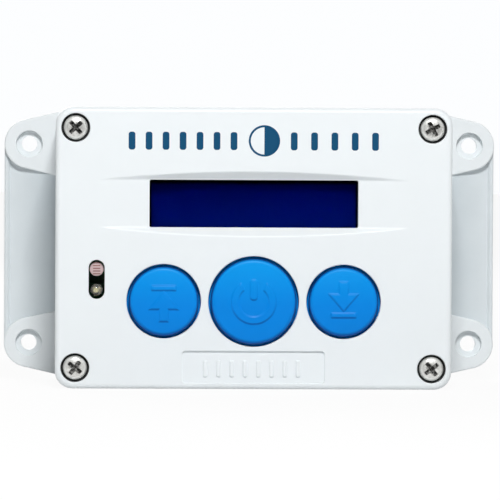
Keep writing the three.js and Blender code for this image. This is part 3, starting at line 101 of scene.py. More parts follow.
# ------------------------------------------------------------------ surfaces
@dataclass
class Surface:
    """Points in millimetres, and faces that list them by number."""

    points: np.ndarray
    faces: list[tuple[int, ...]]

    def __add__(self, other: Surface) -> Surface:
        """Both surfaces as one, side by side.

        Args:
            other: the surface to set beside this one.

        Returns:
            The joint surface.
        """
        shift = len(self.points)
        moved = [tuple(index + shift for index in face) for face in other.faces]
        return Surface(np.vstack([self.points, other.points]), self.faces + moved)

    def moved(self, offset: Sequence[float]) -> Surface:
        """A copy shifted by an offset."""
        return Surface(self.points + np.asarray(offset, float), self.faces)

    def mirrored(self, axis: Axis) -> Surface:
        """A copy mirrored through the plane across an axis at zero.

        Args:
            axis: the axis whose places change sign.

        Returns:
            The mirrored copy, with its faces turned to point out.
        """
        points = self.points.copy()
        points[:, axis.value] *= -1.0
        return Surface(points, [face[::-1] for face in self.faces])

    def turned(self, axis: Axis, angle: float, about: Sequence[float]) -> Surface:
        """A copy turned by an angle in radians about a line through a point.

        Args:
            axis: the axis that the line lies along.
            angle: the angle.
            about: a point on the line.

        Returns:
            The turned copy.
        """
        first, second = axis.across
        if axis is Axis.Y:
            first, second = second, first
        local = self.points - np.asarray(about, float)
        points = local.copy()
        points[:, first] = local[:, first] * math.cos(angle) - local[:, second] * math.sin(angle)
        points[:, second] = local[:, first] * math.sin(angle) + local[:, second] * math.cos(angle)
        return Surface(points + np.asarray(about, float), self.faces)


def total(surfaces: Iterable[Surface]) -> Surface:
    """Several surfaces as one.

    Args:
        surfaces: at least one surface.

    Returns:
        One surface that holds them all, still as separate shells.
    """
    parts = list(surfaces)
    result = parts[0]
    for part in parts[1:]:
        result = result + part
    return result


def grid_faces(rows: int, columns: int, closed: bool) -> list[tuple[int, ...]]:
    """Quads over a grid of points, row by row.

    Args:
        rows: number of rows.
        columns: number of points in a row.
        closed: whether the last column joins the first.

    Returns:
        The quads, as point numbers.
    """
    row, column = np.meshgrid(np.arange(rows - 1), np.arange(columns - (not closed)), indexing="ij")
    after = (column + 1) % columns
    near, far = row * columns, (row + 1) * columns
    quads = np.stack([near + column, near + after, far + after, far + column], axis=-1)
    return [tuple(quad) for quad in quads.reshape(-1, 4).tolist()]


def tube(rings: np.ndarray, capped: bool = True) -> Surface:
    """A skin through closed rings, with flat ends.

    Args:
        rings: points as (ring, point in the ring, xyz).
        capped: whether each end ring is filled by one face.

    Returns:
        The skin: each ring is joined to the next by a row of quads.
    """
    count, size = rings.shape[:2]
    faces = grid_faces(count, size, closed=True)
    if capped:
        faces.append(tuple(range(size))[::-1])
        faces.append(tuple(range((count - 1) * size, count * size)))
    return Surface(rings.reshape(-1, 3), faces)


def looped(rings: np.ndarray) -> Surface:
    """A skin through closed rings whose last ring joins the first, as a torus does.

    Args:
        rings: points as (ring, point in the ring, xyz).

    Returns:
        The closed skin.
    """
    count, size = rings.shape[:2]
    again = np.concatenate([rings, rings[:1]])
    faces = grid_faces(count + 1, size, closed=True)
    wrapped = [tuple(index % (count * size) for index in face) for face in faces]
    return Surface(again[:-1].reshape(-1, 3), wrapped)


def arc(centre: Pair, radius: float, start: float, end: float, steps: int) -> np.ndarray:
    """Points on an arc: the centre plus the radius times (cos, sin) of evenly spaced angles.

    Args:
        centre: centre in the plane of the arc.
        radius: radius.
        start: first angle in degrees.
        end: last angle in degrees.
        steps: number of chords.

    Returns:
        The points as (steps + 1, 2).
    """
    angle = np.radians(np.linspace(start, end, steps + 1))
    return np.stack([centre[0] + radius * np.cos(angle), centre[1] + radius * np.sin(angle)], axis=-1)


def quarter(steps: int) -> np.ndarray:
    """Evenly spaced angles in radians, from nothing to a quarter turn."""
    return np.radians(np.linspace(0, 90, steps + 1))


def turned(
    profile: Sequence[Pair] | np.ndarray,
    centre: Triple,
    axis: Axis = Axis.Y,
    facets: int = 64,
    hollow: bool = False,
) -> Surface:
    """A surface of revolution: each profile point goes round the axis at its radius.

    Args:
        profile: (radius, place along the axis) pairs.
        centre: a point on the axis; its place along the axis is added to the profile's.
        axis: the axis of revolution.
        facets: points in each ring.
        hollow: whether the profile closes on itself instead of meeting the axis.

    Returns:
        The turned surface.
    """
    radius, along = np.asarray(profile, float).T
    angle = np.arange(facets) * TAU / facets
    first, second = axis.across
    rings = np.empty((len(radius), facets, 3))
    rings[..., first] = radius[:, None] * np.cos(angle)
    rings[..., second] = radius[:, None] * np.sin(angle)
    rings[..., axis.value] = along[:, None]
    skin = looped(rings) if hollow else tube(rings)
    return skin.moved(centre)


def rounded_outline(size: Pair, corner: float, inset: float, steps: int = 10) -> np.ndarray:
    """A rectangle with round corners, drawn in by an inset with the same corner centres.

    Args:
        size: width and height.
        corner: corner radius.
        inset: how far the outline moves inwards, or outwards where it is negative.
        steps: chords in each corner.

    Returns:
        Points in the plane as (4 * (steps + 1), 2), counter-clockwise.
    """
    radius = max(corner - inset, 1e-4)
    extra = max(inset - corner, 0.0)
    right, top = size[0] / 2 - corner - extra, size[1] / 2 - corner - extra
    corners = [(right, top, 0), (-right, top, 90), (-right, -top, 180), (right, -top, 270)]
    return np.vstack([arc((x, y), radius, turn, turn + 90, steps) for x, y, turn in corners])


def raised(outline: np.ndarray, place: float, axis: Axis = Axis.Y) -> np.ndarray:
    """A flat outline as a ring in space, at a place along an axis.

    Args:
        outline: points in the plane across the axis.
        place: the ring's place along the axis.
        axis: the axis across the outline's plane.

    Returns:
        The ring as (points, 3).
    """
    first, second = axis.across
    ring = np.empty((len(outline), 3))
    ring[:, first], ring[:, second] = outline[:, 0], outline[:, 1]
    ring[:, axis.value] = place
    return ring


def rounded_block(
    size: Pair,
    corner: float,
    profile: Sequence[Pair] | np.ndarray,
    centre: Pair,
    axis: Axis = Axis.Y,
    steps: int = 10,
) -> Surface:
    """A block whose edge follows a profile: each (inset, place) pair is one round rectangle.

    Args:
        size: width and height across the axis.
        corner: corner radius at no inset.
        profile: (inset, place along the axis) pairs from one end to the other.
        centre: centre across the axis.
        axis: the axis that the profile runs along.
        steps: chords in each corner.

    Returns:
        The closed block.
    """
    shift = np.asarray(centre, float)
    outlines = [rounded_outline(size, corner, inset, steps) + shift for inset, _ in profile]
    return tube(np.stack([raised(outline, place, axis) for outline, (_, place) in zip(outlines, profile)]))


def soft_edges(low: float, high: float, radius: float, steps: int = 4) -> np.ndarray:
    """A (inset, place) profile from low to high with a quarter round at each end.

    Args:
        low: first place along the axis.
        high: last place along the axis.
        radius: radius of both rounds.
        steps: chords in each round.

    Returns:
        The profile's points.
    """
    turn = quarter(steps)
    inset, rise = radius * (1 - np.sin(turn)), radius * (1 - np.cos(turn))
    start = np.stack([inset, low + rise], axis=-1)
    end = np.stack([inset[::-1], high - rise[::-1]], axis=-1)
    return np.vstack([start, end])


def flare(radius: float, face: float, lip: float, depth: float, steps: int = 5) -> list[Pair]:
    """The (outset, place) profile of a cutter that leaves a round lip at a face it enters along +Y.

    The cutter widens by a quarter circle over the lip, and starts outside the face.

    Args:
        radius: outset of the straight part, from the outline that the profile is used with.
        face: the face's place along Y.
        lip: radius of the round lip.
        depth: place along Y of the cutter's end.
        steps: chords in the lip.

    Returns:
        (outset, place) pairs, from outside the face to the end.
    """
    turn = quarter(steps)
    outset = radius + lip * (1 - np.sin(turn))
    place = face + lip * (1 - np.cos(turn)) - lip * 0.01
    outer = [(radius + lip * 1.05, face - 1.0), (radius + lip * 1.05, face - lip * 0.02)]
    return [*outer, *zip(outset.tolist(), place.tolist()), (radius, depth)]


# ------------------------------------------------------------------ objects
def make_object(name: str, surface: Surface) -> bpy.types.Object:
    """A mesh object from a surface, with merged seams and faces that point out.

    Args:
        name: the object's name.
        surface: the surface in millimetres.

    Returns:
        The object, linked to the scene, at the origin.
    """
    mesh = bpy.data.meshes.new(name)
    mesh.from_pydata((surface.points * MM).tolist(), [], surface.faces)
    work = bmesh.new()
    work.from_mesh(mesh)
    bmesh.ops.remove_doubles(work, verts=work.verts, dist=MERGE_DISTANCE)
    bmesh.ops.dissolve_degenerate(work, edges=work.edges, dist=MERGE_DISTANCE)
    bmesh.ops.recalc_face_normals(work, faces=work.faces)
    work.to_mesh(mesh)
    work.free()
    piece = bpy.data.objects.new(name, mesh)
    bpy.context.scene.collection.objects.link(piece)
    return piece


def settle(piece: bpy.types.Object) -> bpy.types.Object:
    """Applies every modifier of a piece to its mesh.

    Args:
        piece: the object to settle.

    Returns:
        The same object.
    """
    graph = bpy.context.evaluated_depsgraph_get()
    old = piece.data
    piece.data = bpy.data.meshes.new_from_object(piece.evaluated_get(graph))
    piece.modifiers.clear()
    bpy.data.meshes.remove(old)
    return piece


def combine(piece: bpy.types.Object, tool: Surface, operation: Operation) -> bpy.types.Object:
    """Cuts or joins a piece with a closed tool.

    Args:
        piece: the object that changes.
        tool: one or more closed shells that don't cross each other.
        operation: what the tool does.

    Returns:
        The changed object.
    """
    helper = make_object("tool", tool)
    modifier = piece.modifiers.new("combine", "BOOLEAN")
    modifier.operation = operation.value
    modifier.solver = "MANIFOLD"
    modifier.object = helper
    settle(piece)
    mesh = helper.data
    bpy.data.objects.remove(helper)
    bpy.data.meshes.remove(mesh)
    return piece


def smooth(piece: bpy.types.Object, angle: float = 35.0, weighted: bool = True) -> bpy.types.Object:
    """Shades a piece smooth, with creases where faces meet at more than an angle.

    Args:
        piece: the object to shade.
        angle: crease angle in degrees.
        weighted: whether large flat faces rule the normals at their borders.

    Returns:
        The same object.
    """
    piece.data.shade_smooth()
    piece.data.set_sharp_from_angle(angle=math.radians(angle))
    if weighted:
        modifier = piece.modifiers.new("weights", "WEIGHTED_NORMAL")
        modifier.keep_sharp = True
        modifier.weight = 90
    return piece




# ------------------------------------------------------------------ shared effects
EFFECT_INPUTS = {
    "grain": {"Scale": 900.0, "Contrast": 1.0},
    "mottle": {"Scale": 30.0, "Amount": 0.02},
    "wear": {"Radius": 0.0006, "Amount": 0.3},
    "dust": {"Scale": 60.0, "Amount": 0.1},
}
WEAR_RADIUS = 0.0004
DUST_SCALE = 260.0
DUST_COLOUR = (176, 172, 160)
EFFECTS: dict[str, bpy.types.NodeTree] = {}
BUILT: dict[str, bpy.types.Material] = {}
Link = bpy.types.NodeSocket


class Nodes:
    """A short way to add and join the nodes of a tree."""

    def __init__(self, tree: bpy.types.NodeTree) -> None:
        """Keeps the tree that the nodes go into."""
        self.tree = tree

    def add(self, kind: str, settings: dict[str, object] | None = None, **inputs: object) -> bpy.types.Node:
        """Adds a node.

        Args:
            kind: the node type's name.
            settings: attributes of the node.
            **inputs: a value or a socket for each input, by name, with _ for a space.

        Returns:
            The node.
        """
        node = self.tree.nodes.new(kind)
        for key, value in (settings or {}).items():
            setattr(node, key, value)
        for key, value in inputs.items():
            slot = int(key[1:]) if key[1:].isdigit() else key.replace("_", " ")
            if isinstance(value, bpy.types.NodeSocket):
                self.tree.links.new(value, node.inputs[slot])
            else:
                node.inputs[slot].default_value = value
        return node

    def math(self, operation: str, *values: object, clamp: bool = False) -> Link:
        """Adds a Math node over its values and gives its result."""
        inputs = {f"i{index}": value for index, value in enumerate(values)}
        return self.add("ShaderNodeMath", {"operation": operation, "use_clamp": clamp}, **inputs).outputs[0]

    def times(self, first: object, second: object) -> Link:
        """Gives the product of two values."""
        return self.math("MULTIPLY", first, second)

    def plus(self, first: object, second: object) -> Link:
        """Gives the sum of two values."""
        return self.math("ADD", first, second)

    def minus(self, first: object, second: object) -> Link:
        """Gives the first value less the second."""
        return self.math("SUBTRACT", first, second)

    def size(self, value: Link) -> Link:
        """Gives a value without its sign."""
        return self.math("ABSOLUTE", value)

    def wave(self, value: Link, length: float) -> Link:
        """Gives the sine of a value that repeats over a length."""
        return self.math("SINE", self.times(value, TAU / length))

    def noise(self, vector: Link, scale: object, detail: float = 3.0, roughness: float = 0.55) -> Link:
        """Adds fractal noise and gives its value."""
        node = self.add("ShaderNodeTexNoise", Vector=vector, Scale=scale, Detail=detail, Roughness=roughness)
        return node.outputs["Fac"]

    def remap(self, value: Link, low: object, high: object, start: object = 0.0, end: object = 1.0) -> Link:
        """Maps low..high to start..end, held at both ends."""
        names = {"Value": value, "From_Min": low, "From_Max": high, "To_Min": start, "To_Max": end}
        return self.add("ShaderNodeMapRange", **names).outputs[0]

    def mix(self, share: object, first: object, second: object, blend: str = "MIX") -> Link:
        """Mixes two colours by a share."""
        settings = {"data_type": "RGBA", "blend_type": blend}
        return self.add("ShaderNodeMix", settings, i0=share, i6=first, i7=second).outputs[2]

    def place(self) -> Link:
        """Gives the object's own coordinates."""
        return self.add("ShaderNodeTexCoord").outputs["Object"]

    def axes(self) -> Sequence[Link]:
        """Gives the object's own X, Y and Z."""
        return self.add("ShaderNodeSeparateXYZ", Vector=self.place()).outputs

    def facing(self) -> Sequence[Link]:
        """Gives the X, Y and Z of the surface's normal."""
        normal = self.add("ShaderNodeNewGeometry").outputs["Normal"]
        return self.add("ShaderNodeSeparateXYZ", Vector=normal).outputs

    def squares(self, first: Link, second: Link) -> Link:
        """Adds the squares of two values."""
        return self.math("MULTIPLY_ADD", first, first, self.times(second, second))

    def from_spot(self, spot: Pair) -> tuple[Link, Link]:
        """Gives how far |X| and |Z| are from a spot in millimetres, as it repeats in each quarter."""
        x, _, z = self.axes()
        return self.minus(self.size(x), spot[0] * MM), self.minus(self.size(z), spot[1] * MM)

    def product(self, *values: object) -> Link:
        """Multiplies its values, held within 0 and 1 at the end.

        Args:
            *values: two or more values.

        Returns:
            The held product.
        """
        result = values[0]
        for value in values[1:-1]:
            result = self.times(result, value)
        return self.math("MULTIPLY", result, values[-1], clamp=True)


def effect(name: str, output: str) -> tuple[Nodes, dict[str, Link], Link]:
    """Starts a node group with the effect's number inputs and one number output.

    Args:
        name: the effect's name.
        output: name of its output number.

    Returns:
        The group's node adder, its inputs by name, and the socket that takes its result.
    """
    group = bpy.data.node_groups.new(name, "ShaderNodeTree")
    for label, value in EFFECT_INPUTS[name].items():
        socket = group.interface.new_socket(label, in_out="INPUT", socket_type="NodeSocketFloat")
        socket.default_value = value
    group.interface.new_socket(output, in_out="OUTPUT", socket_type="NodeSocketFloat")
    nodes = Nodes(group)
    EFFECTS[name] = group
    return nodes, nodes.add("NodeGroupInput").outputs, nodes.add("NodeGroupOutput").inputs[output]


def make_effects() -> None:
    """Builds the four shared effects: moulded grain, tone, worn edges and dust."""
    nodes, given, result = effect("grain", "Height")
    cells = nodes.noise(nodes.place(), given["Scale"], 2.0, 0.5)
    nodes.tree.links.new(nodes.times(cells, given["Contrast"]), result)

    nodes, given, result = effect("mottle", "Tone")
    wide = nodes.noise(nodes.place(), given["Scale"], 4.0)
    swing = nodes.times(nodes.minus(wide, 0.5), given["Amount"])
    nodes.tree.links.new(nodes.plus(swing, 1.0), result)

    nodes, given, result = effect("wear", "Mask")
    bevel = nodes.add("ShaderNodeBevel", {"samples": 4}, Radius=given["Radius"])
    normal = nodes.add("ShaderNodeNewGeometry").outputs["Normal"]
    dot = {"operation": "DOT_PRODUCT"}
    likeness = nodes.add("ShaderNodeVectorMath", dot, i0=bevel.outputs[0], i1=normal).outputs["Value"]
    edge = nodes.remap(likeness, 0.999, 0.9)
    broken = nodes.remap(nodes.noise(nodes.place(), 400.0), 0.4, 0.65)
    nodes.tree.links.new(nodes.product(edge, broken, given["Amount"]), result)

    nodes, given, result = effect("dust", "Mask")
    specks = nodes.remap(nodes.noise(nodes.place(), given["Scale"], 6.0, 0.7), 0.52, 0.75)
    lying = nodes.remap(nodes.facing()[2], 0.1, 0.9, 0.25, 1.0)
    nodes.tree.links.new(nodes.product(specks, lying, given["Amount"]), result)


def linear(red: float, green: float, blue: float) -> tuple[float, float, float, float]:
    """A colour as the renderer takes it, from its 0 to 255 display values.

    Args:
        red: red from 0 to 255.
        green: green from 0 to 255.
        blue: blue from 0 to 255.

    Returns:
        Red, green, blue and full opacity.
    """
    shown = np.array([red, green, blue]) / 255.0
    dark, bright = shown / 12.92, ((shown + 0.055) / 1.055) ** 2.4
    return (*np.where(shown <= 0.04045, dark, bright).tolist(), 1.0)


@dataclass(frozen=True)
class Finish:
    """A material: its colour, gloss and surface detail."""

    name: str
    colour: Triple
    roughness: float = 0.45
    metal: float = 0.0
    grain_scale: float = 2500.0
    grain_height: float = 0.00001
    tone_scale: float = 60.0
    tone: float = 0.05
    rough_swing: float = 0.12
    wear: float = 0.0
    worn_colour: Triple = (235, 240, 242)
    dust: float = 0.0
    coat: float = 0.0
    specular: float = 0.5
    transmission: float = 0.0
    ior: float = 1.5
    glow: float = 0.0
    detail: Callable[[Nodes, Link], tuple[Link, Link]] | None = None

    def build(self) -> bpy.types.Material:
        """Makes the material, or finds it if it was made before.

        Returns:
            The material.
        """
        if self.name in BUILT:
            return BUILT[self.name]
        material = BUILT[self.name] = bpy.data.materials.new(f"{self.name}_finish")
        material.use_nodes = True
        tree = material.node_tree
        tree.nodes.clear()
        nodes = Nodes(tree)
        shader = nodes.add("ShaderNodeBsdfPrincipled", Specular_IOR_Level=self.specular, IOR=self.ior)
        shader.inputs["Transmission Weight"].default_value = self.transmission
        shader.inputs["Coat Weight"].default_value = self.coat
        shader.inputs["Metallic"].default_value = self.metal
        nodes.add("ShaderNodeOutputMaterial", Surface=shader.outputs[0])
        paint = linear(*self.colour)
        tone = self.use(nodes, "mottle", Scale=self.tone_scale, Amount=self.tone)
        colour = nodes.mix(1.0, paint, self.grey(nodes, tone), "MULTIPLY")
        height = self.use(nodes, "grain", Scale=self.grain_scale, Contrast=self.grain_height)
        if self.detail:
            colour, extra = self.detail(nodes, colour)
            height = nodes.plus(height, extra)
        if self.wear:
            mask = self.use(nodes, "wear", Radius=WEAR_RADIUS, Amount=self.wear)
            colour = nodes.mix(mask, colour, linear(*self.worn_colour))
        if self.dust:
            mask = self.use(nodes, "dust", Scale=DUST_SCALE, Amount=self.dust)
            colour = nodes.mix(mask, colour, linear(*DUST_COLOUR))
        patches = nodes.noise(nodes.place(), self.tone_scale * 2.7, 4.0)
        low, high = self.roughness * (1 - self.rough_swing), self.roughness * (1 + self.rough_swing)
        rough = nodes.remap(patches, 0.3, 0.7, low, high)
        bump = nodes.add("ShaderNodeBump", Height=height, Distance=1.0, Strength=1.0)
        for socket, name in ((colour, "Base Color"), (rough, "Roughness"), (bump.outputs[0], "Normal")):
            tree.links.new(socket, shader.inputs[name])
        if self.glow:
            tree.links.new(colour, shader.inputs["Emission Color"])
            shader.inputs["Emission Strength"].default_value = self.glow
        return material

    @staticmethod
    def use(nodes: Nodes, name: str, **inputs: float) -> Link:
        """Places a shared effect and gives its only output.

        Args:
            nodes: adds the material's nodes.
            name: the effect's name.
            **inputs: a number for each of its inputs, by name.

        Returns:
            The effect's output.
        """
        node = nodes.add("ShaderNodeGroup", {"node_tree": EFFECTS[name]})
        for key, value in inputs.items():
            node.inputs[key].default_value = value
        return node.outputs[0]

    @staticmethod
    def grey(nodes: Nodes, value: Link) -> Link:
        """A number as a grey colour."""
        return nodes.add("ShaderNodeCombineColor", Red=value, Green=value, Blue=value).outputs[0]
# ------------------------------------------------------------------ finishes
def serpentine(nodes: Nodes, colour: Link) -> tuple[Link, Link]:
    """A sensor's winding track: bands whose phase flips from side to side, inside a disc.

    Args:
        nodes: adds the material's nodes.
        colour: the colour so far.

    Returns:
        The changed colour, and the height that the detail adds.
    """
    x, _, z = nodes.axes()
    across, along = nodes.minus(x, LIGHT_X * MM), nodes.minus(z, CELL_Z * MM)
    bent = nodes.minus(nodes.size(across), 0.00115)
    ends = nodes.remap(bent, -0.0001, 0.0001, 1.0, 0.0)
    track = nodes.times(nodes.remap(nodes.wave(along, 0.00085), 0.1, 0.5), ends)
    return nodes.mix(track, colour, linear(142, 96, 90)), nodes.times(track, 0.00004)


def board_tracks(nodes: Nodes, colour: Link) -> tuple[Link, Link]:
    """Copper tracks under a board's varnish: the edges of stretched square cells, with round pads.

    Args:
        nodes: adds the material's nodes.
        colour: the colour so far.

    Returns:
        The changed colour, and the height that the detail adds.
    """
    shape = {"distance": "CHEBYCHEV", "feature": "F1"}
    cells = nodes.add("ShaderNodeTexVoronoi", shape, Vector=nodes.place(), Scale=210.0, Randomness=0.75)
    ring = nodes.size(nodes.minus(cells.outputs["Distance"], 0.34))
    track = nodes.remap(ring, 0.03, 0.05, 1.0, 0.0)
    pad = nodes.remap(cells.outputs["Distance"], 0.09, 0.11, 1.0, 0.0)
    shaded = nodes.mix(track, colour, linear(34, 112, 62))
    return nodes.mix(pad, shaded, linear(196, 190, 170)), nodes.times(track, 0.00003)


def cell_wrap(nodes: Nodes, colour: Link) -> tuple[Link, Link]:
    """A battery's sleeve: a copper-coloured band on the quarter of its length at its button end.

    Args:
        nodes: adds the material's nodes.
        colour: the colour so far.

    Returns:
        The changed colour, and the height that the detail adds.
    """
    x, _, z = nodes.axes()
    row = nodes.math("FLOOR", nodes.math("DIVIDE", nodes.plus(z, 0.0296), 0.0148))
    half = nodes.math("FRACT", nodes.times(row, 0.5))
    odd = nodes.size(nodes.minus(nodes.times(half, 2.0), 1.0))
    way = nodes.minus(nodes.times(odd, 2.0), 1.0)
    band = nodes.remap(nodes.times(nodes.plus(x, 0.02985), way), 0.0118, 0.0120)
    return nodes.mix(band, colour, linear(196, 122, 62)), nodes.times(band, 0.00002)


def tool_marks_and_recess_shade(nodes: Nodes, colour: Link) -> tuple[Link, Link]:
    """Fine tool marks round a head: waves of the distance from the nearest screw's axis, with blotchy grime
    round its middle and painted shade inside its cross recess.

    Args:
        nodes: adds the material's nodes.
        colour: the colour so far.

    Returns:
        The changed colour, and the height that the detail adds.
    """
    away = nodes.math("SQRT", nodes.squares(*nodes.from_spot(SCREW_SPOTS)))
    blotch = nodes.remap(nodes.noise(nodes.place(), 900.0, 4.0), 0.4, 0.56)
    grime = nodes.times(nodes.remap(away, 0.0012, 0.0024, 0.7, 0.1), blotch)
    # painted shade: the cross recess, behind the head's face and near the axis, goes near black in uneven
    # patches
    below_face = nodes.remap(nodes.axes()[1], -0.05976, -0.0594)
    recess_shade_mask = nodes.times(below_face, nodes.remap(away, 0.0029, 0.0026))
    shaded = nodes.mix(grime, colour, linear(96, 93, 88))
    uneven = nodes.remap(nodes.noise(nodes.place(), 1300.0), 0.38, 0.55, 0.35, 1.0)
    patchy_recess_shade = nodes.times(recess_shade_mask, uneven)
    marks = nodes.times(nodes.wave(away, 0.00022), 0.000004)
    return nodes.mix(patchy_recess_shade, shaded, linear(34, 32, 30)), marks


def screen_painted_shade(nodes: Nodes, colour: Link) -> tuple[Link, Link]:
    """A dark display, near black down its sides, with painted shade: near black along its top edge and
    lighter towards its lower edge, over a faint lattice of dots.

    Args:
        nodes: adds the material's nodes.
        colour: the colour so far.

    Returns:
        The changed colour, and the height that the detail adds.
    """
    x, _, z = nodes.axes()
    # painted shade: the display is darker at the top and lighter towards its lower edge, as if the lid's
    # upper edge shaded it
    shaded_screen = nodes.mix(nodes.remap(z, 0.0205, 0.0060), colour, linear(0, 24, 128))
    # a near-black band down each side, and painted shadow as a near-black band along the top edge
    side = nodes.remap(nodes.size(x), 0.0318, 0.0322)
    rim = nodes.math("MAXIMUM", side, nodes.remap(z, 0.0196, 0.0206))
    shaded_screen = nodes.mix(rim, shaded_screen, linear(0, 0, 8))
    dots = nodes.times(nodes.wave(x, 0.0006), nodes.wave(z, 0.00066))
    faint = nodes.remap(dots, 0.2, 0.9, 0.0, 0.06)
    return nodes.mix(faint, shaded_screen, linear(40, 70, 150)), nodes.times(dots, 0.0000004)


def wing_painted_shade(nodes: Nodes, colour: Link) -> tuple[Link, Link]:
    """Painted shade on the wing plates: a grey blue that deepens towards the case, as if the case's tall
    side shaded them.

    It lies where the front-facing surface is below the bosses and clear of the wells, or between
    the two lines that bound the bosses, and its share grows with nearness to the case's side.

    Args:
        nodes: adds the material's nodes.
        colour: the colour so far.

    Returns:
        The changed colour, and the height that the detail adds.
    """
    x, y, z = nodes.axes()
    out, rise = nodes.size(x), nodes.size(z)
    slope, root, root_rise = 0.2309, 0.06075, 0.02142
    line = nodes.math("MULTIPLY_ADD", out, slope, root_rise - slope * root)
    between = nodes.remap(nodes.minus(rise, line), 0.0002, -0.0002)
    clear = nodes.remap(nodes.squares(*nodes.from_spot(WING_HOLE)), 0.0076**2, 0.0079**2)
    low = nodes.times(nodes.remap(y, -0.0055, -0.0048), clear)
    beside = nodes.remap(out, 0.0619, 0.0622)
    front = nodes.remap(nodes.facing()[1], -0.5, -0.85)
    area = nodes.times(nodes.math("MAXIMUM", between, low), nodes.times(beside, front))
    depth = nodes.remap(out, 0.0785, 0.0622, 0.2, 0.5)
    uneven = nodes.remap(nodes.noise(nodes.place(), 90.0, 4.0), 0.3, 0.7, 0.9, 1.06)
    # painted shade: the plate's colour turns grey blue, more strongly near the case
    share = nodes.product(area, depth, uneven)
    return nodes.mix(share, colour, linear(150, 168, 177)), nodes.times(share, 0.000001)


def cap_painted_light(nodes: Nodes, colour: Link) -> tuple[Link, Link]:
    """Painted light on a cap: painted shade where it turns away from the front or faces down, and a painted
    lighter blue towards its top, as if lit from above.

    Args:
        nodes: adds the material's nodes.
        colour: the colour so far.

    Returns:
        The changed colour, and the height that the detail adds.
    """
    _, forward, upward = nodes.facing()
    # painted shade: darker blue where the surface turns away from the front or faces down
    painted_rim_shade = nodes.remap(forward, -0.9, -0.55, 0.0, 0.85)
    share = nodes.math("MAXIMUM", painted_rim_shade, nodes.remap(upward, -0.04, -0.55, 0.0, 0.62))
    # painted highlight: a lighter blue towards the cap's top
    painted_top_light = nodes.mix(nodes.remap(nodes.axes()[2], -0.018, -0.004, 0.0, 0.75), colour, linear(0, 158, 236))
    ripple = nodes.times(nodes.noise(nodes.place(), 160.0), 0.00002)
    return nodes.mix(share, painted_top_light, linear(0, 50, 130)), ripple


def brushed(nodes: Nodes, colour: Link) -> tuple[Link, Link]:
    """Drawn metal: noise stretched along X, as colour and height.

    Args:
        nodes: adds the material's nodes.
        colour: the colour so far.

    Returns:
        The changed colour, and the height that the detail adds.
    """
    stretched = nodes.add("ShaderNodeMapping", Vector=nodes.place(), Scale=(80.0, 2600.0, 2600.0)).outputs[0]
    lines = nodes.noise(stretched, 1.0, 3.0)
    shade = nodes.remap(lines, 0.3, 0.7, 0.0, 0.35)
    return nodes.mix(shade, colour, linear(120, 122, 124)), nodes.times(lines, 0.00001)


def wire_lay(nodes: Nodes, colour: Link) -> tuple[Link, Link]:
    """A lead's sleeve: a slow ripple along its run."""
    return colour, nodes.times(nodes.noise(nodes.place(), 500.0, 2.0), 0.00006)


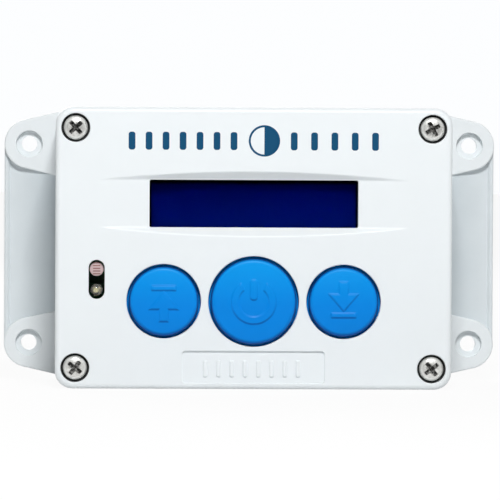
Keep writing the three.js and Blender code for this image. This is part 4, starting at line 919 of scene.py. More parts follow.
@dataclass(frozen=True)
class Finishes:
    """Every finish of the unit."""

    lid: Finish = Finish(
        "lid_abs", (234, 239, 241), 0.42, grain_scale=5200, grain_height=0.000012, tone=0.025,
        wear=0.12, worn_colour=(247, 249, 250), dust=0.025,
    )
    # the base's detail paints shade on the wing plates near the case
    base: Finish = Finish(
        "base_abs", (231, 236, 238), 0.48, grain_scale=4200, grain_height=0.00002, tone=0.035,
        wear=0.12, worn_colour=(246, 248, 249), dust=0.05, detail=wing_painted_shade,
    )
    print_ink: Finish = Finish(
        "print_ink", (0, 74, 112), 0.55, grain_scale=6000, grain_height=0.000006, tone=0.12,
        specular=0.2,
    )
    # the button's detail paints shade on its rim and underside, and a highlight towards its top
    button: Finish = Finish(
        "button_blue", (0, 132, 222), 0.4, grain_scale=6000, grain_height=0.000005, tone=0.06,
        wear=0.06, worn_colour=(0, 150, 232), dust=0.0, specular=0.12, detail=cap_painted_light,
    )
    rubber: Finish = Finish(
        "seal_rubber", (38, 39, 41), 0.75, grain_scale=2600, grain_height=0.00003, tone=0.2,
    )
    # the screw's detail adds tool marks and grime, and paints shade inside the cross recess
    screw: Finish = Finish(
        "screw_steel", (240, 240, 236), 0.36, 0.5, tone=0.2, rough_swing=0.35, wear=0.2,
        detail=tool_marks_and_recess_shade,
    )
    window: Finish = Finish(
        "window_clear", (252, 253, 255), 0.01, grain_scale=900, grain_height=0.0000001, tone=0.005,
        rough_swing=0.5, transmission=1.0, ior=1.49, specular=0.1,
    )
    led: Finish = Finish(
        "led_clear", (250, 249, 244), 0.06, grain_scale=1500, grain_height=0.000001, tone=0.03,
        transmission=0.85, ior=1.3,
    )
    chip: Finish = Finish(
        "lamp_chip", (250, 238, 176), 0.35, tone=0.1, wear=0.2, worn_colour=(250, 246, 220),
    )
    bezel: Finish = Finish(
        "bezel_black", (22, 23, 25), 0.4, 0.0, tone=0.2, wear=0.3, worn_colour=(90, 92, 95),
    )
    # the screen's detail paints shade: a black top band and a gradient that lightens downwards
    screen: Finish = Finish(
        "screen_blue", (0, 4, 98), 0.16, grain_height=0.0000002, tone=0.04, detail=screen_painted_shade,
        specular=0.0,
    )
    board: Finish = Finish(
        "board_green", (22, 92, 50), 0.38, grain_height=0.000004, tone=0.08, coat=0.3,
        detail=board_tracks,
    )
    black: Finish = Finish(
        "black_abs", (32, 33, 35), 0.5, grain_scale=3400, grain_height=0.00002, tone=0.15, wear=0.3,
        worn_colour=(84, 86, 88), dust=0.06,
    )
    nylon: Finish = Finish(
        "connector_nylon", (226, 219, 200), 0.5, grain_scale=3000, tone=0.06, dust=0.03,
    )
    sensor: Finish = Finish("sensor_cell", (196, 172, 172), 0.35, tone=0.1, coat=0.3, detail=serpentine)
    plunger: Finish = Finish("plunger_white", (228, 226, 218), 0.5, tone=0.05, wear=0.2)
    wrap: Finish = Finish("cell_wrap", (44, 50, 58), 0.3, tone=0.1, coat=0.3, detail=cell_wrap)
    contact: Finish = Finish(
        "contact_steel", (186, 186, 180), 0.3, 1.0, tone=0.15, rough_swing=0.3, detail=brushed,
    )
    acetal: Finish = Finish(
        "gear_acetal", (238, 236, 228), 0.38, tone=0.03, grain_height=0.00001, dust=0.04,
    )
    plate: Finish = Finish("plate_nylon", (186, 188, 184), 0.5, tone=0.08, wear=0.2, dust=0.05)
    brass: Finish = Finish(
        "brass", (198, 160, 84), 0.28, 1.0, tone=0.14, rough_swing=0.3, detail=brushed,
    )
    pin: Finish = Finish(
        "pin_steel", (196, 197, 198), 0.22, 1.0, tone=0.1, rough_swing=0.4, detail=brushed,
    )
    can: Finish = Finish(
        "motor_steel", (168, 170, 172), 0.32, 1.0, tone=0.15, rough_swing=0.3, detail=brushed,
    )
    red: Finish = Finish("wire_red", (176, 24, 22), 0.45, tone=0.1, dust=0.04, detail=wire_lay)
    dark: Finish = Finish("wire_black", (26, 26, 28), 0.45, tone=0.2, dust=0.04, detail=wire_lay)


FINISH = Finishes()


@dataclass
class Assembly:
    """A group of pieces that ride on bodies of the part."""

    def place(
        self,
        piece: bpy.types.Object,
        finish: Finish,
        slot: str,
        body: str = CASE_BODY,
        nodes: Sequence[str] = (),
    ) -> bpy.types.Object:
        """Dresses a finished piece and hangs it on its body.

        Args:
            piece: the finished mesh object.
            finish: its finish.
            slot: the record's material slot; not used.
            body: the body that it rides on.
            nodes: the CAD nodes that it stands for.

        Returns:
            The same object.
        """
        piece.data.materials.clear()
        piece.data.materials.append(finish.build())
        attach(piece, body)
        if nodes:
            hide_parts(*nodes)
        LOG.info("%s rides on %s, %d faces", piece.name, body, len(piece.data.polygons))
        return piece

    def add(self, name: str, surface: Surface, finish: Finish, slot: str, **placing: object) -> None:
        """Makes a smooth piece from a surface and places it, with place's other arguments by name."""
        self.place(smooth(make_object(name, surface)), finish, slot, **placing)

    def build(self) -> None:
        """Builds every piece of the group."""
        raise NotImplementedError


def brick(x: Pair, y: Pair, z: Pair, edge: float = 0.3) -> Surface:
    """A box with rounded edges between two places on each axis.

    Args:
        x: low and high place on X.
        y: low and high place on Y.
        z: low and high place on Z.
        edge: radius of its edges.

    Returns:
        The closed box.
    """
    centre = ((x[0] + x[1]) / 2, (z[0] + z[1]) / 2)
    size = (x[1] - x[0], z[1] - z[0])
    return rounded_block(size, edge, soft_edges(y[0], y[1], edge, 3), centre, Axis.Y, 3)


def post(radius: float, y: Pair, place: Pair, edge: float = 0.2, facets: int = 40) -> Surface:
    """A round post along Y with softened ends.

    Args:
        radius: its radius.
        y: low and high place on Y.
        place: its axis, as (x, z).
        edge: radius of its end edges.
        facets: points round it.

    Returns:
        The closed post.
    """
    profile = [(radius - inset, along) for inset, along in soft_edges(y[0], y[1], edge, 3)]
    return turned(profile, (place[0], 0.0, place[1]), Axis.Y, facets)


def corners(x: float, z: float) -> list[Pair]:
    """The four places at plus and minus x and z."""
    return [(side * x, rise * z) for side in (-1, 1) for rise in (-1, 1)]


def soft_min(first: np.ndarray, second: np.ndarray, reach: float) -> np.ndarray:
    """The lower of two fields, blended by a parabola where they differ by less than the reach."""
    overlap = np.maximum(reach - np.abs(first - second), 0.0)
    return np.minimum(first, second) - overlap**2 / (4 * reach)


@dataclass
class LidShell(Assembly):
    """The front shell, with its display scoop, button holes, screw wells and printed marks."""

    wall: float = CASE_WALL
    front: float = FRONT
    back: float = -45.7
    edge: float = 1.6
    lip: float = 0.32
    boss: float = 6.0
    post: float = 3.0
    stake: float = 2.4
    window_frame: Pair = (74.2, 23.8)
    window_pocket: Pair = (70.2, 19.8)
    display: Pair = (65.3, 14.9)
    scoop_span: float = 47.3
    scoop_depth: float = 2.7
    disc: Pair = (3.1, 33.6)
    ink: float = 0.03
    slot: tuple[float, float, float, float] = (LIGHT_X, -9.9, 4.95, 12.2)
    label: tuple[float, float, float, float] = (0.0, -37.1, 44.4, 10.0)

    @property
    def inner(self) -> float:
        """The inner face's place along Y."""
        return self.front + self.wall

    def shell(self) -> Surface:
        """The tray: a rounded rectangle carried from the inner face round the rim to the front.

        Returns:
            The closed tray, open towards the wall.
        """
        turn = quarter(8)
        rounded = zip(self.edge * (1 - np.cos(turn)), self.front + self.edge * (1 - np.sin(turn)))
        profile = [(self.wall + 0.6, self.inner), (self.wall, self.inner + 0.6)]
        profile += [(self.wall, self.back - 0.15), (self.wall - 0.15, self.back), (0.15, self.back)]
        profile += [(0.0, self.back - 0.15), *rounded]
        return rounded_block(CASE_SIZE, CASE_CORNER, profile, (0.0, 0.0), Axis.Y, 12)

    def inside(self) -> list[Surface]:
        """Screw bosses, board posts and pins, display stakes and the window's frame.

        Returns:
            The closed pieces to join, each of which meets the front wall.
        """
        start = self.inner - 0.5
        stake_places = [(x, z + DISPLAY_Z) for x, z in corners(*STAKE_SPOTS)]
        bosses = [post(self.boss, (start, self.back), place) for place in corners(*SCREW_SPOTS)]
        posts = [post(self.post, (start, BOARD_FACE), place) for place in corners(*BOARD_SPOTS)]
        x, z = BOARD_SPOTS
        pins = [post(1.3, (-44.3, -40.45), (side * x, z), 0.25) for side in (-1, 1)]
        stakes = [post(self.stake, (start, -47.8), place) for place in stake_places]
        tips = [post(self.stake / 2, (-48.8, -45.45), place, 0.4) for place in stake_places]
        rim = [(0.0, -58.1), (0.0, -54.45), (0.2, -54.25)]
        window = rounded_block(self.window_frame, 0.6, rim, (0.0, DISPLAY_Z))
        return [*bosses, *posts, *pins, *stakes, *tips, window]

    def scoop(self) -> Surface:
        """The cutter of the scoop.

        Its depth is d(x) = depth * (1 - (x / span)^2) on the floor, and falls at 45 degrees past the
        display's top and bottom edges. The two meet in a small fillet, and where the depth reaches
        nothing it turns level just outside the face, which leaves a round lip.

        Returns:
            The closed cutter, up to a plane outside the face.
        """
        half = self.display[1] / 2
        x = np.linspace(-self.scoop_span - 1.6, self.scoop_span + 1.6, 121)
        steep = np.linspace(half - 0.5, half + self.scoop_depth + 0.7, 34)
        z = np.concatenate([-steep[::-1], np.linspace(1 - half, half - 1, 13), steep])
        across, rise = np.meshgrid(x, z, indexing="ij")
        floor = self.scoop_depth * (1 - (across / self.scoop_span) ** 2)
        depth = soft_min(floor, half + floor - np.abs(rise), 0.35)
        depth = -soft_min(-depth, np.zeros_like(depth), 0.3) - 0.004
        top = np.full_like(depth, -1.5)
        rise = rise + DISPLAY_Z
        sheets = [np.stack([across, self.front + level, rise], axis=-1) for level in (depth, top)]
        rows, columns = across.shape
        count = rows * columns
        faces = grid_faces(rows, columns, closed=False)
        lid_faces = [tuple(index + count for index in face)[::-1] for face in faces]
        number = np.arange(count).reshape(rows, columns)
        border = np.concatenate([number[:-1, 0], number[-1, :-1], number[1:, -1][::-1], number[0, 1:][::-1]])
        ahead = np.roll(border, -1)
        skirt = np.stack([border, border + count, ahead + count, ahead], axis=-1)
        points = np.concatenate([sheet.reshape(-1, 3) for sheet in sheets])
        return Surface(points, faces + lid_faces + [tuple(face) for face in skirt.tolist()])

    def cutters(self) -> list[list[Surface]]:
        """Every opening: buttons, screw wells, slot, label, scoop, display and window pocket.

        Returns:
            Groups of closed tools, to cut one group after another.
        """
        holes = [
            turned(flare(radius, self.front, self.lip, self.inner + 1), (x, 0.0, BUTTON_Z), facets=120)
            for x, radius in BUTTON_HOLES
        ]
        well = [*flare(4.5, self.front, 0.35, self.front + 3), (2.15, self.front + 3), (2.15, self.back + 1)]
        wells = [turned(well, (x, 0.0, z), facets=72) for x, z in corners(*SCREW_SPOTS)]
        x, z = BOARD_SPOTS
        pilots = [post(1.55, (-52.05, -42.0), (side * x, -z), 0.1, 24) for side in (-1, 1)]
        x, z, width, height = self.slot
        groove = [(-outset, place) for outset, place in flare(0.0, self.front, self.lip, self.inner + 1)]
        slot = rounded_block((width, height), width / 2 - 0.01, groove, (x, z), Axis.Y, 14)
        x, z, width, height = self.label
        dip = [(-outset, place) for outset, place in flare(0.0, self.front, 0.22, self.front + 0.8)]
        label = rounded_block((width, height), 1.0, dip, (x, z))
        middle = (0.0, DISPLAY_Z)
        sight = rounded_block(self.display, 0.5, [(0, -62.0), (0, -55.0)], middle, steps=4)
        pocket = rounded_block(self.window_pocket, 0.5, [(0, -55.7), (0, -53.0)], middle, steps=4)
        return [[*holes, *wells, *pilots, slot, label], [self.scoop()], [sight], [pocket]]

    def bars(self) -> Surface:
        """A row of plain upright ribs on the floor of the label recess."""
        rib = [(0.0, -59.0), (0.0, -59.5), (0.25, -59.72), (0.5, -59.78)]
        return total(rounded_block((1.5, 5.3), 0.6, rib, (x, -37.6)) for x in np.linspace(-15.0, 14.0, 8))

    def marks(self) -> Surface:
        """The printed marks: two rows of plain upright dashes, and a disc that is half ring, half solid.

        Returns:
            The marks, a hair proud of the face.
        """
        inner, outer = self.front + self.ink, self.front - self.ink
        left, right = np.linspace(-38.2, -6.4, 7), np.linspace(12.4, 37.8, 5)
        levels = [(0.0, inner), (0.0, outer)]
        dashes = [rounded_block((2.1, 5.6), 0.8, levels, (x, 33.5)) for x in (*left, *right)]
        x, z = self.disc
        half = arc(self.disc, 4.3, -90, 90, 36)
        section = [(4.9, inner), (4.9, outer), (4.25, outer), (4.25, inner)]
        ring = turned(section, (x, 0.0, z), facets=72, hollow=True)
        solid = tube(np.stack([raised(half, place) for place in (inner, outer)]))
        return total([*dashes, ring, solid])

    def build(self) -> None:
        """Builds the shell and its marks."""
        piece = make_object("lid_shell", self.shell())
        for part in self.inside():
            combine(piece, part, Operation.JOIN)
        for group in self.cutters():
            combine(piece, total(group), Operation.CUT)
        combine(piece, self.bars(), Operation.JOIN)
        self.place(smooth(piece, 30), FINISH.lid, "lid_plastic", nodes=["lid"])
        self.add("lid_marks", self.marks(), FINISH.print_ink, "lid_plastic")


@dataclass
class BaseShell(Assembly):
    """The rear shell with its two wings."""

    wall: float = CASE_WALL
    back_wall: float = 3.0
    rim: float = -44.0
    boss: float = 6.0
    hole: Pair = WING_HOLE
    boss_radius: float = 8.0
    boss_height: float = 6.0
    plate: float = 3.0
    wing_edge: float = 79.0
    taper: float = 13.0
    root: float = 60.75
    plates: Pair = (4.0, 18.2)
    rib_z: Pair = (-26.99, 23.49)
    pedestal: tuple[Pair, Pair, Pair] = ((38.55, 41.55), (-29.0, -2.0), (-42.5, -13.0))
    pad: tuple[Pair, Pair, Pair] = ((20.2, 39.2), (-37.5, -18.5), (-42.5, -39.9))

    def shell(self) -> Surface:
        """The tub: a rounded rectangle carried from the floor over the rim to the rounded back edge.

        Returns:
            The closed tub, open towards the front.
        """
        profile = [(self.wall + 0.8, -self.back_wall), (self.wall, -self.back_wall - 0.8)]
        profile += [(self.wall, self.rim + 0.2), (self.wall - 0.2, self.rim)]
        profile += [(0.2, self.rim), (0.0, self.rim + 0.2)]
        turn = quarter(5)
        profile += list(zip(0.9 * (1 - np.cos(turn)), -0.9 * (1 - np.sin(turn))))
        return rounded_block(CASE_SIZE, CASE_CORNER, profile, (0.0, 0.0), Axis.Y, 12)

    def boss_ring(self, inset: float, place: float) -> np.ndarray:
        """The boss's outline: an arc round the hole, and straight sides that widen to the case.

        Args:
            inset: how far the arc moves inwards.
            place: the ring's place along Y.

        Returns:
            The ring as (points, 3).
        """
        slope = math.radians(self.taper)
        radius = self.boss_radius - inset
        rounded = arc(self.hole, radius, self.taper - 90, 90 - self.taper, 30)
        touch = self.hole[0] + radius * math.sin(slope)
        rise = radius * math.cos(slope) + (touch - self.root) * math.tan(slope)
        ends = [(self.root, self.hole[1] + rise), (self.root, self.hole[1] - rise)]
        return raised(np.vstack([rounded, ends]), place)

    def wing(self) -> list[Surface]:
        """The right wing: two bosses, and between them a plate that climbs to the case.

        Returns:
            The closed pieces to join.
        """
        edge = soft_edges(-self.boss_height, 0.0, 0.55, 6)
        boss = tube(np.stack([self.boss_ring(inset, place) for inset, place in edge]))
        x = np.linspace(self.wing_edge - 1.9, 62.0, 24)
        share = (x - x[0]) / (x[-1] - x[0])
        climb = -(self.plate + (self.boss_height - 0.06 - self.plate) * share**1.15)
        floor = np.stack([x, climb], axis=-1)
        outer = arc((self.wing_edge - 0.6, -3.4), 0.6, 0, -90, 6)
        crest = arc((self.wing_edge - 0.95, -3.5), 0.5, -90, -180, 5)
        heel = arc((self.wing_edge - 0.6, -0.6), 0.6, 90, 0, 5)
        root = [(self.root, -self.boss_height + 0.06), (self.root, 0.0)]
        section = np.vstack([floor, root, heel, outer, crest])
        reach = self.hole[1]
        plate = tube(np.stack([raised(section, z, Axis.Z) for z in np.linspace(-reach, reach, 9)]))
        return [boss, boss.mirrored(Axis.Z), plate]

    def inside(self) -> list[Surface]:
        """Screw bosses, the shaft's pedestal, the eyelet's pad and the ribs that hold the plates.

        Returns:
            The closed pieces to join.
        """
        bosses = [post(self.boss, (self.rim, -2.0), place) for place in corners(*SCREW_SPOTS)]
        sides = [plate + offset for plate in self.plates for offset in (-1.05, 3.05)]
        ribs = [brick((x - 0.8, x + 0.8), (-8.0, -2.0), (z - 4, z + 4)) for x in sides for z in self.rib_z]
        return [*bosses, brick(*self.pedestal), brick(*self.pad), *ribs]

    def cutters(self) -> list[Surface]:
        """Pilot holes, mounting holes with their wells, the eyelet's seat and the bush's seat.

        Returns:
            Closed tools that don't cross each other.
        """
        pilots = [post(2.15, (self.rim - 1, -36.5), place, 0.05, 32) for place in corners(*SCREW_SPOTS)]
        well_end = 2.2 - self.boss_height
        bore = [(2.5, well_end), (2.5, -0.25), (2.8, 0.02), (2.8, 1.0)]
        well = [*flare(4.2, -self.boss_height, 0.3, well_end), *bore]
        mounts = [turned(well, (x, 0.0, z), facets=72) for x, z in corners(*self.hole)]
        seat = [(7.25, -45.0), (7.25, -42.35), (5.25, -42.35), (5.25, -38.0)]
        eyelet = turned(seat, (*EYELET_SPOT, 0.0), Axis.Z)
        bush = turned([(4.25, 37.0), (4.25, 43.0)], SPOOL_AXIS, Axis.X)
        return [*pilots, *mounts, eyelet, bush]

    def build(self) -> None:
        """Builds the tub with its wings."""
        piece = make_object("base_shell", self.shell())
        wing = self.wing()
        for part in [*wing, *[side.mirrored(Axis.X) for side in wing], *self.inside()]:
            combine(piece, part, Operation.JOIN)
        combine(piece, total(self.cutters()), Operation.CUT)
        self.place(smooth(piece, 30), FINISH.base, "base_plastic", nodes=["base_housing"])


@dataclass
class Seal(Assembly):
    """The gasket between the shells, pressed into a barrel section."""

    size: Pair = (123.2, 87.2)
    corner: float = 5.1
    width: float = 1.7
    span: Pair = (-45.45, -44.25)

    def build(self) -> None:
        """Builds the gasket: a rounded section carried round the rim."""
        low, high = self.span
        turn = np.radians(np.arange(16) * 22.5)
        middle, half = (low + high) / 2, (high - low) / 2
        inset = self.width / 2 * (1 - np.sign(np.cos(turn)) * np.abs(np.cos(turn)) ** 0.5)
        place = middle + half * np.sign(np.sin(turn)) * np.abs(np.sin(turn)) ** 0.5
        rings = [raised(rounded_outline(self.size, self.corner, i, 8), p) for i, p in zip(inset, place)]
        self.add("rim_seal", looped(np.stack(rings)), FINISH.rubber, "seal_rubber", nodes=["lid_gasket"])


@dataclass
class LidScrews(Assembly):
    """Four pan-head screws with cross recesses, each in a well lined by a thin dark cup: a seal under the
    head whose wall stands in for the shade in the gap round the head.
    """

    head_radius: float = 3.8
    head_top: float = -59.79
    head_base: float = -57.25
    shank: float = 1.9
    tip: float = -37.0
    turns: tuple[float, ...] = (38.0, 52.0, 47.0, 61.0)

    def blank(self, place: Pair) -> Surface:
        """The screw: a flat-topped pan head, a neck, and a shank with ridges 0.8 apart.

        Args:
            place: the screw's axis, as (x, z).

        Returns:
            The closed screw without its cross.
        """
        dome = [(0.0, 0.0), (1.5, 0.0), (2.5, 0.09), (3.1, 0.3), (3.5, 0.65), (3.74, 1.2)]
        head = [(radius, self.head_top + drop) for radius, drop in (*dome, (self.head_radius, 1.8))]
        head += [(self.head_radius, self.head_base - 0.15), (self.head_radius - 0.15, self.head_base)]
        run = np.arange(self.head_base + 2.0, self.tip - 1.5, 0.4)
        ridge = np.where(np.arange(len(run)) % 2, self.shank, self.shank - 0.32)
        end = [(self.shank - 0.32, self.tip - 1.2), (0.5, self.tip - 0.1), (0.0, self.tip)]
        neck = [(self.shank, self.head_base), (self.shank - 0.1, self.head_base + 1.8)]
        profile = [*head, *neck, *zip(ridge.tolist(), run.tolist()), *end]
        return turned(profile, (place[0], 0.0, place[1]), facets=56)

    def cup_profile(self) -> list[Pair]:
        """The dark cup that lines the well: a wall with a round lip, a dark sheet that stands in for the
        shade in the gap round the head, and a floor under the head that seals it.
        """
        lip = [(4.12, -58.3), (4.2, -58.45), (4.34, -58.5), (4.47, -58.4)]
        return [(2.3, -57.2), (4.12, -57.2), *lip, (4.47, -57.02), (2.3, -57.02)]

    def recess(self, place: Pair, angle: float) -> list[Surface]:
        """The cross: two blades whose section shrinks with depth, turned by an angle.

        Args:
            place: the screw's axis, as (x, z).
            angle: the angle in degrees.

        Returns:
            The two closed blades.
        """
        centre = (place[0], 0.0, place[1])
        blades = []
        for share in (0.0, 90.0):
            profile = [(-0.1, self.head_top - 0.3), (0.0, self.head_top), (0.3, self.head_top + 1.6)]
            sizes = [((5.1 - 4 * inset, 1.35 - inset), level) for inset, level in profile]
            rings = [raised(rounded_outline(size, 0.3, 0.0, 4), level) for size, level in sizes]
            blade = tube(np.stack(rings)).moved(centre)
            blades.append(blade.turned(Axis.Y, math.radians(angle + share), centre))
        return blades

    def build(self) -> None:
        """Builds the four screws."""
        places = [(side * SCREW_SPOTS[0], rise * SCREW_SPOTS[1]) for rise in (-1, 1) for side in (-1, 1)]
        for number, (place, angle) in enumerate(zip(places, self.turns), start=1):
            piece = make_object(f"case_screw_{number}", self.blank(place))
            for blade in self.recess(place, angle):
                combine(piece, blade, Operation.CUT)
            self.place(smooth(piece, 32), FINISH.screw, "screw_steel", nodes=[f"lid_screw_{number}"])
            # painted shade: the dark cup's wall stands in for the shade in the gap round each head; its
            # floor is a seal under the head
            cup = turned(self.cup_profile(), (place[0], 0.0, place[1]), hollow=True)
            self.add(f"well_seal_{number}", cup, FINISH.rubber, "seal_rubber")


class Icon(Enum):
    """The raised mark on a button."""

    UP = "up"
    POWER = "power"
    DOWN = "down"


@dataclass
class Button(Assembly):
    """A round cap with a crowned face, a rolled edge and a raised mark."""

    icon: Icon
    centre_x: float
    hole: float
    gap: float = 0.72
    bottom: float = -49.55
    face_rows: int = 14
    face: float = -60.9
    crown: float = 0.5
    roll: float = 1.45
    relief: float = 0.3
    mark_slope: float = 0.78

    @property
    def radius(self) -> float:
        """The cap's radius in its hole."""
        return self.hole - self.gap

    def crowned(self, radius: np.ndarray) -> np.ndarray:
        """The face's place along Y at a radius, without its mark."""
        return self.face - self.crown * (1 - (radius / (self.radius - self.roll)) ** 2)

    def outer_profile(self) -> list[Pair]:
        """Face and side: a shallow crown, a rolled edge, and the flange behind the lid.

        Returns:
            (radius, place along Y) pairs, from the face's middle round to the stem's end.
        """
        flat = self.radius - self.roll
        radius = np.linspace(0.0, flat, self.face_rows)
        turn = quarter(8)[1:]
        rolled = zip(flat + self.roll * np.sin(turn), self.face + self.roll * (1 - np.cos(turn)))
        flange = self.radius + 1.3
        lower = [(self.radius, -57.25), (flange - 0.1, -57.2), (flange, -57.1)]
        lower += [(flange, -56.1), (flange - 0.1, -56.0)]
        inner = [(self.radius - 1.6, -56.0), (self.radius - 1.6, -58.9), (2.4, -58.9)]
        stem = [(2.4, self.bottom - 0.1), (2.3, self.bottom), (0.0, self.bottom)]
        return [*zip(radius, self.crowned(radius)), *rolled, *lower, *inner, *stem]

    def polygons(self) -> list[np.ndarray]:
        """The mark's outlines round the cap's centre, as (x, z) points.

        Returns:
            The outlines, each drawn once round.
        """
        if self.icon is Icon.POWER:
            gap = math.degrees(0.62)
            ring = np.vstack([
                arc((0, 0), 7.0, 90 + gap, 450 - gap, 56),
                arc((0, 0), 4.7, 450 - gap * 1.12, 90 + gap * 1.12, 48),
            ])
            bar = rounded_outline((2.2, 6.3), 0.9, 0.0, 5) + np.array([0.0, 3.7])
            return [ring, bar]
        right = [(1.4, -6.3), (1.4, -2.5), (4.7, -2.5)]
        left = [(-x, z) for x, z in reversed(right)]
        head = np.array([(0.0, 2.9), *left, *right])
        bar = rounded_outline((7.8, 1.5), 0.3, 0.0, 3) + np.array([0.0, 4.15])
        turn = -1.0 if self.icon is Icon.DOWN else 1.0
        return [head * turn, bar * turn]

    def mark_depth(self, across: np.ndarray, rise: np.ndarray) -> np.ndarray:
        """Height of the mark: the relief times a soft step of the distance inside its outlines.

        Args:
            across: places across the cap, from its axis.
            rise: places up the cap, from its axis.

        Returns:
            The height at each place.
        """
        inside = np.full(across.shape, -9.0)
        for outline in self.polygons():
            start, end = outline, np.roll(outline, -1, axis=0)
            edge = end - start
            from_start = np.stack([across, rise], axis=-1)[..., None, :] - start
            length = np.maximum((edge**2).sum(-1), 1e-9)
            share = np.clip((from_start * edge).sum(-1) / length, 0.0, 1.0)
            away = np.sqrt(((from_start - share[..., None] * edge) ** 2).sum(-1)).min(-1)
            above = (start[:, 1] > rise[..., None]) != (end[:, 1] > rise[..., None])
            slope = np.where(np.abs(edge[:, 1]) < 1e-9, 1e-9, edge[:, 1])
            cross = start[:, 0] + (rise[..., None] - start[:, 1]) * edge[:, 0] / slope
            odd = ((above & (across[..., None] < cross)).sum(-1) % 2) == 1
            inside = np.maximum(inside, np.where(odd, away, -away))
        step = np.clip(inside / self.mark_slope + 0.5, 0.0, 1.0)
        return self.relief * step**2 * (3 - 2 * step)

    def cap(self) -> Surface:
        """The cap: its face is a fine polar grid raised by the mark, and the rest is turned.

        A point at radius r and angle a stands at the crown's height plus the mark's.

        Returns:
            The closed cap.
        """
        count = 240
        radius = np.linspace(0.0, self.radius - self.roll, 88)[:, None]
        angle = np.arange(count) * TAU / count
        across, rise = radius * np.cos(angle), radius * np.sin(angle)
        face = np.stack([across, self.crowned(radius) - self.mark_depth(across, rise), rise], axis=-1)
        reach, level = np.hsplit(np.array(self.outer_profile())[self.face_rows :], 2)
        side = np.stack([reach * np.cos(angle), np.repeat(level, count, 1), reach * np.sin(angle)], axis=-1)
        return tube(np.concatenate([face, side])).moved((self.centre_x, 0.0, BUTTON_Z))

    def build(self) -> None:
        """Builds the cap and the switch under it."""
        name = self.icon.value
        piece = make_object(f"{name}_cap_shell", self.cap())
        smooth(piece, 40, weighted=False)
        self.place(piece, FINISH.button, "button_blue", f"{name}_cap", [f"{name}_button"])
        x, z = self.centre_x, BUTTON_Z
        well = [(0.0, -47.5), (1.95, -47.5), (1.95, -46.75), (1.95, -44.6), (0.0, -44.6)]
        body = brick((x - 3, x + 3), (-46.8, BOARD_FACE), (z - 3, z + 3), 0.35)
        switch = make_object(f"{name}_switch_shell", body)
        combine(switch, turned(well, (x, 0.0, z)), Operation.CUT)
        self.place(smooth(switch), FINISH.black, "black_plastic", nodes=[f"{name}_switch_body"])
        tip = post(1.7, (-49.3, -45.6), (x, z), 0.3)
        stands_for = {"body": f"{name}_plunger", "nodes": [f"{name}_switch_plunger"]}
        self.add(f"{name}_switch_tip", tip, FINISH.plunger, "plunger_white", **stands_for)


@dataclass
class Display(Assembly):
    """The window and the character display behind it."""

    pane: Pair = (69.7, 19.3)
    glass: Pair = (69.5, 22.5)
    frame: Pair = (71.2, 24.2)
    sight: Pair = (66.6, 17.0)
    board: Pair = (80.0, 36.0)

    def build(self) -> None:
        """Builds the window, glass, metal frame and board."""
        middle = (0.0, DISPLAY_Z)
        window = rounded_block(self.pane, 0.5, soft_edges(-55.45, -54.25, 0.15), middle, steps=5)
        self.add("display_pane", window, FINISH.window, "window_clear", nodes=["display_window"])
        glass = rounded_block(self.glass, 0.3, soft_edges(-53.15, -50.35, 0.12), middle, steps=3)
        self.add("display_cell", glass, FINISH.screen, "lcd_glass", nodes=["lcd_glass"])
        edge = [(0.0, -47.8), (0.0, -53.7), (0.3, -54.0)]
        rim = make_object("display_frame", rounded_block(self.frame, 0.9, edge, middle))
        hollow_size = (self.frame[0] - 1.2, self.frame[1] - 1.2)
        combine(rim, rounded_block(hollow_size, 0.4, [(0.0, -53.4), (0.0, -47.0)], middle), Operation.CUT)
        opening = rounded_block(self.sight, 0.8, [(-0.5, -54.6), (0.3, -53.2), (0.3, -53.0)], middle)
        combine(rim, opening, Operation.CUT)
        self.place(smooth(rim), FINISH.bezel, "bezel_black", nodes=["lcd_bezel"])
        slab = rounded_block(self.board, 1.0, soft_edges(-47.55, -45.95, 0.08), middle)
        board = make_object("display_board", slab)
        places = [(x, z + DISPLAY_Z) for x, z in corners(*STAKE_SPOTS)]
        combine(board, total(post(1.45, (-49.0, -44.0), place, 0.05, 28) for place in places), Operation.CUT)
        self.place(smooth(board), FINISH.board, "circuit_board", nodes=["lcd_board"])


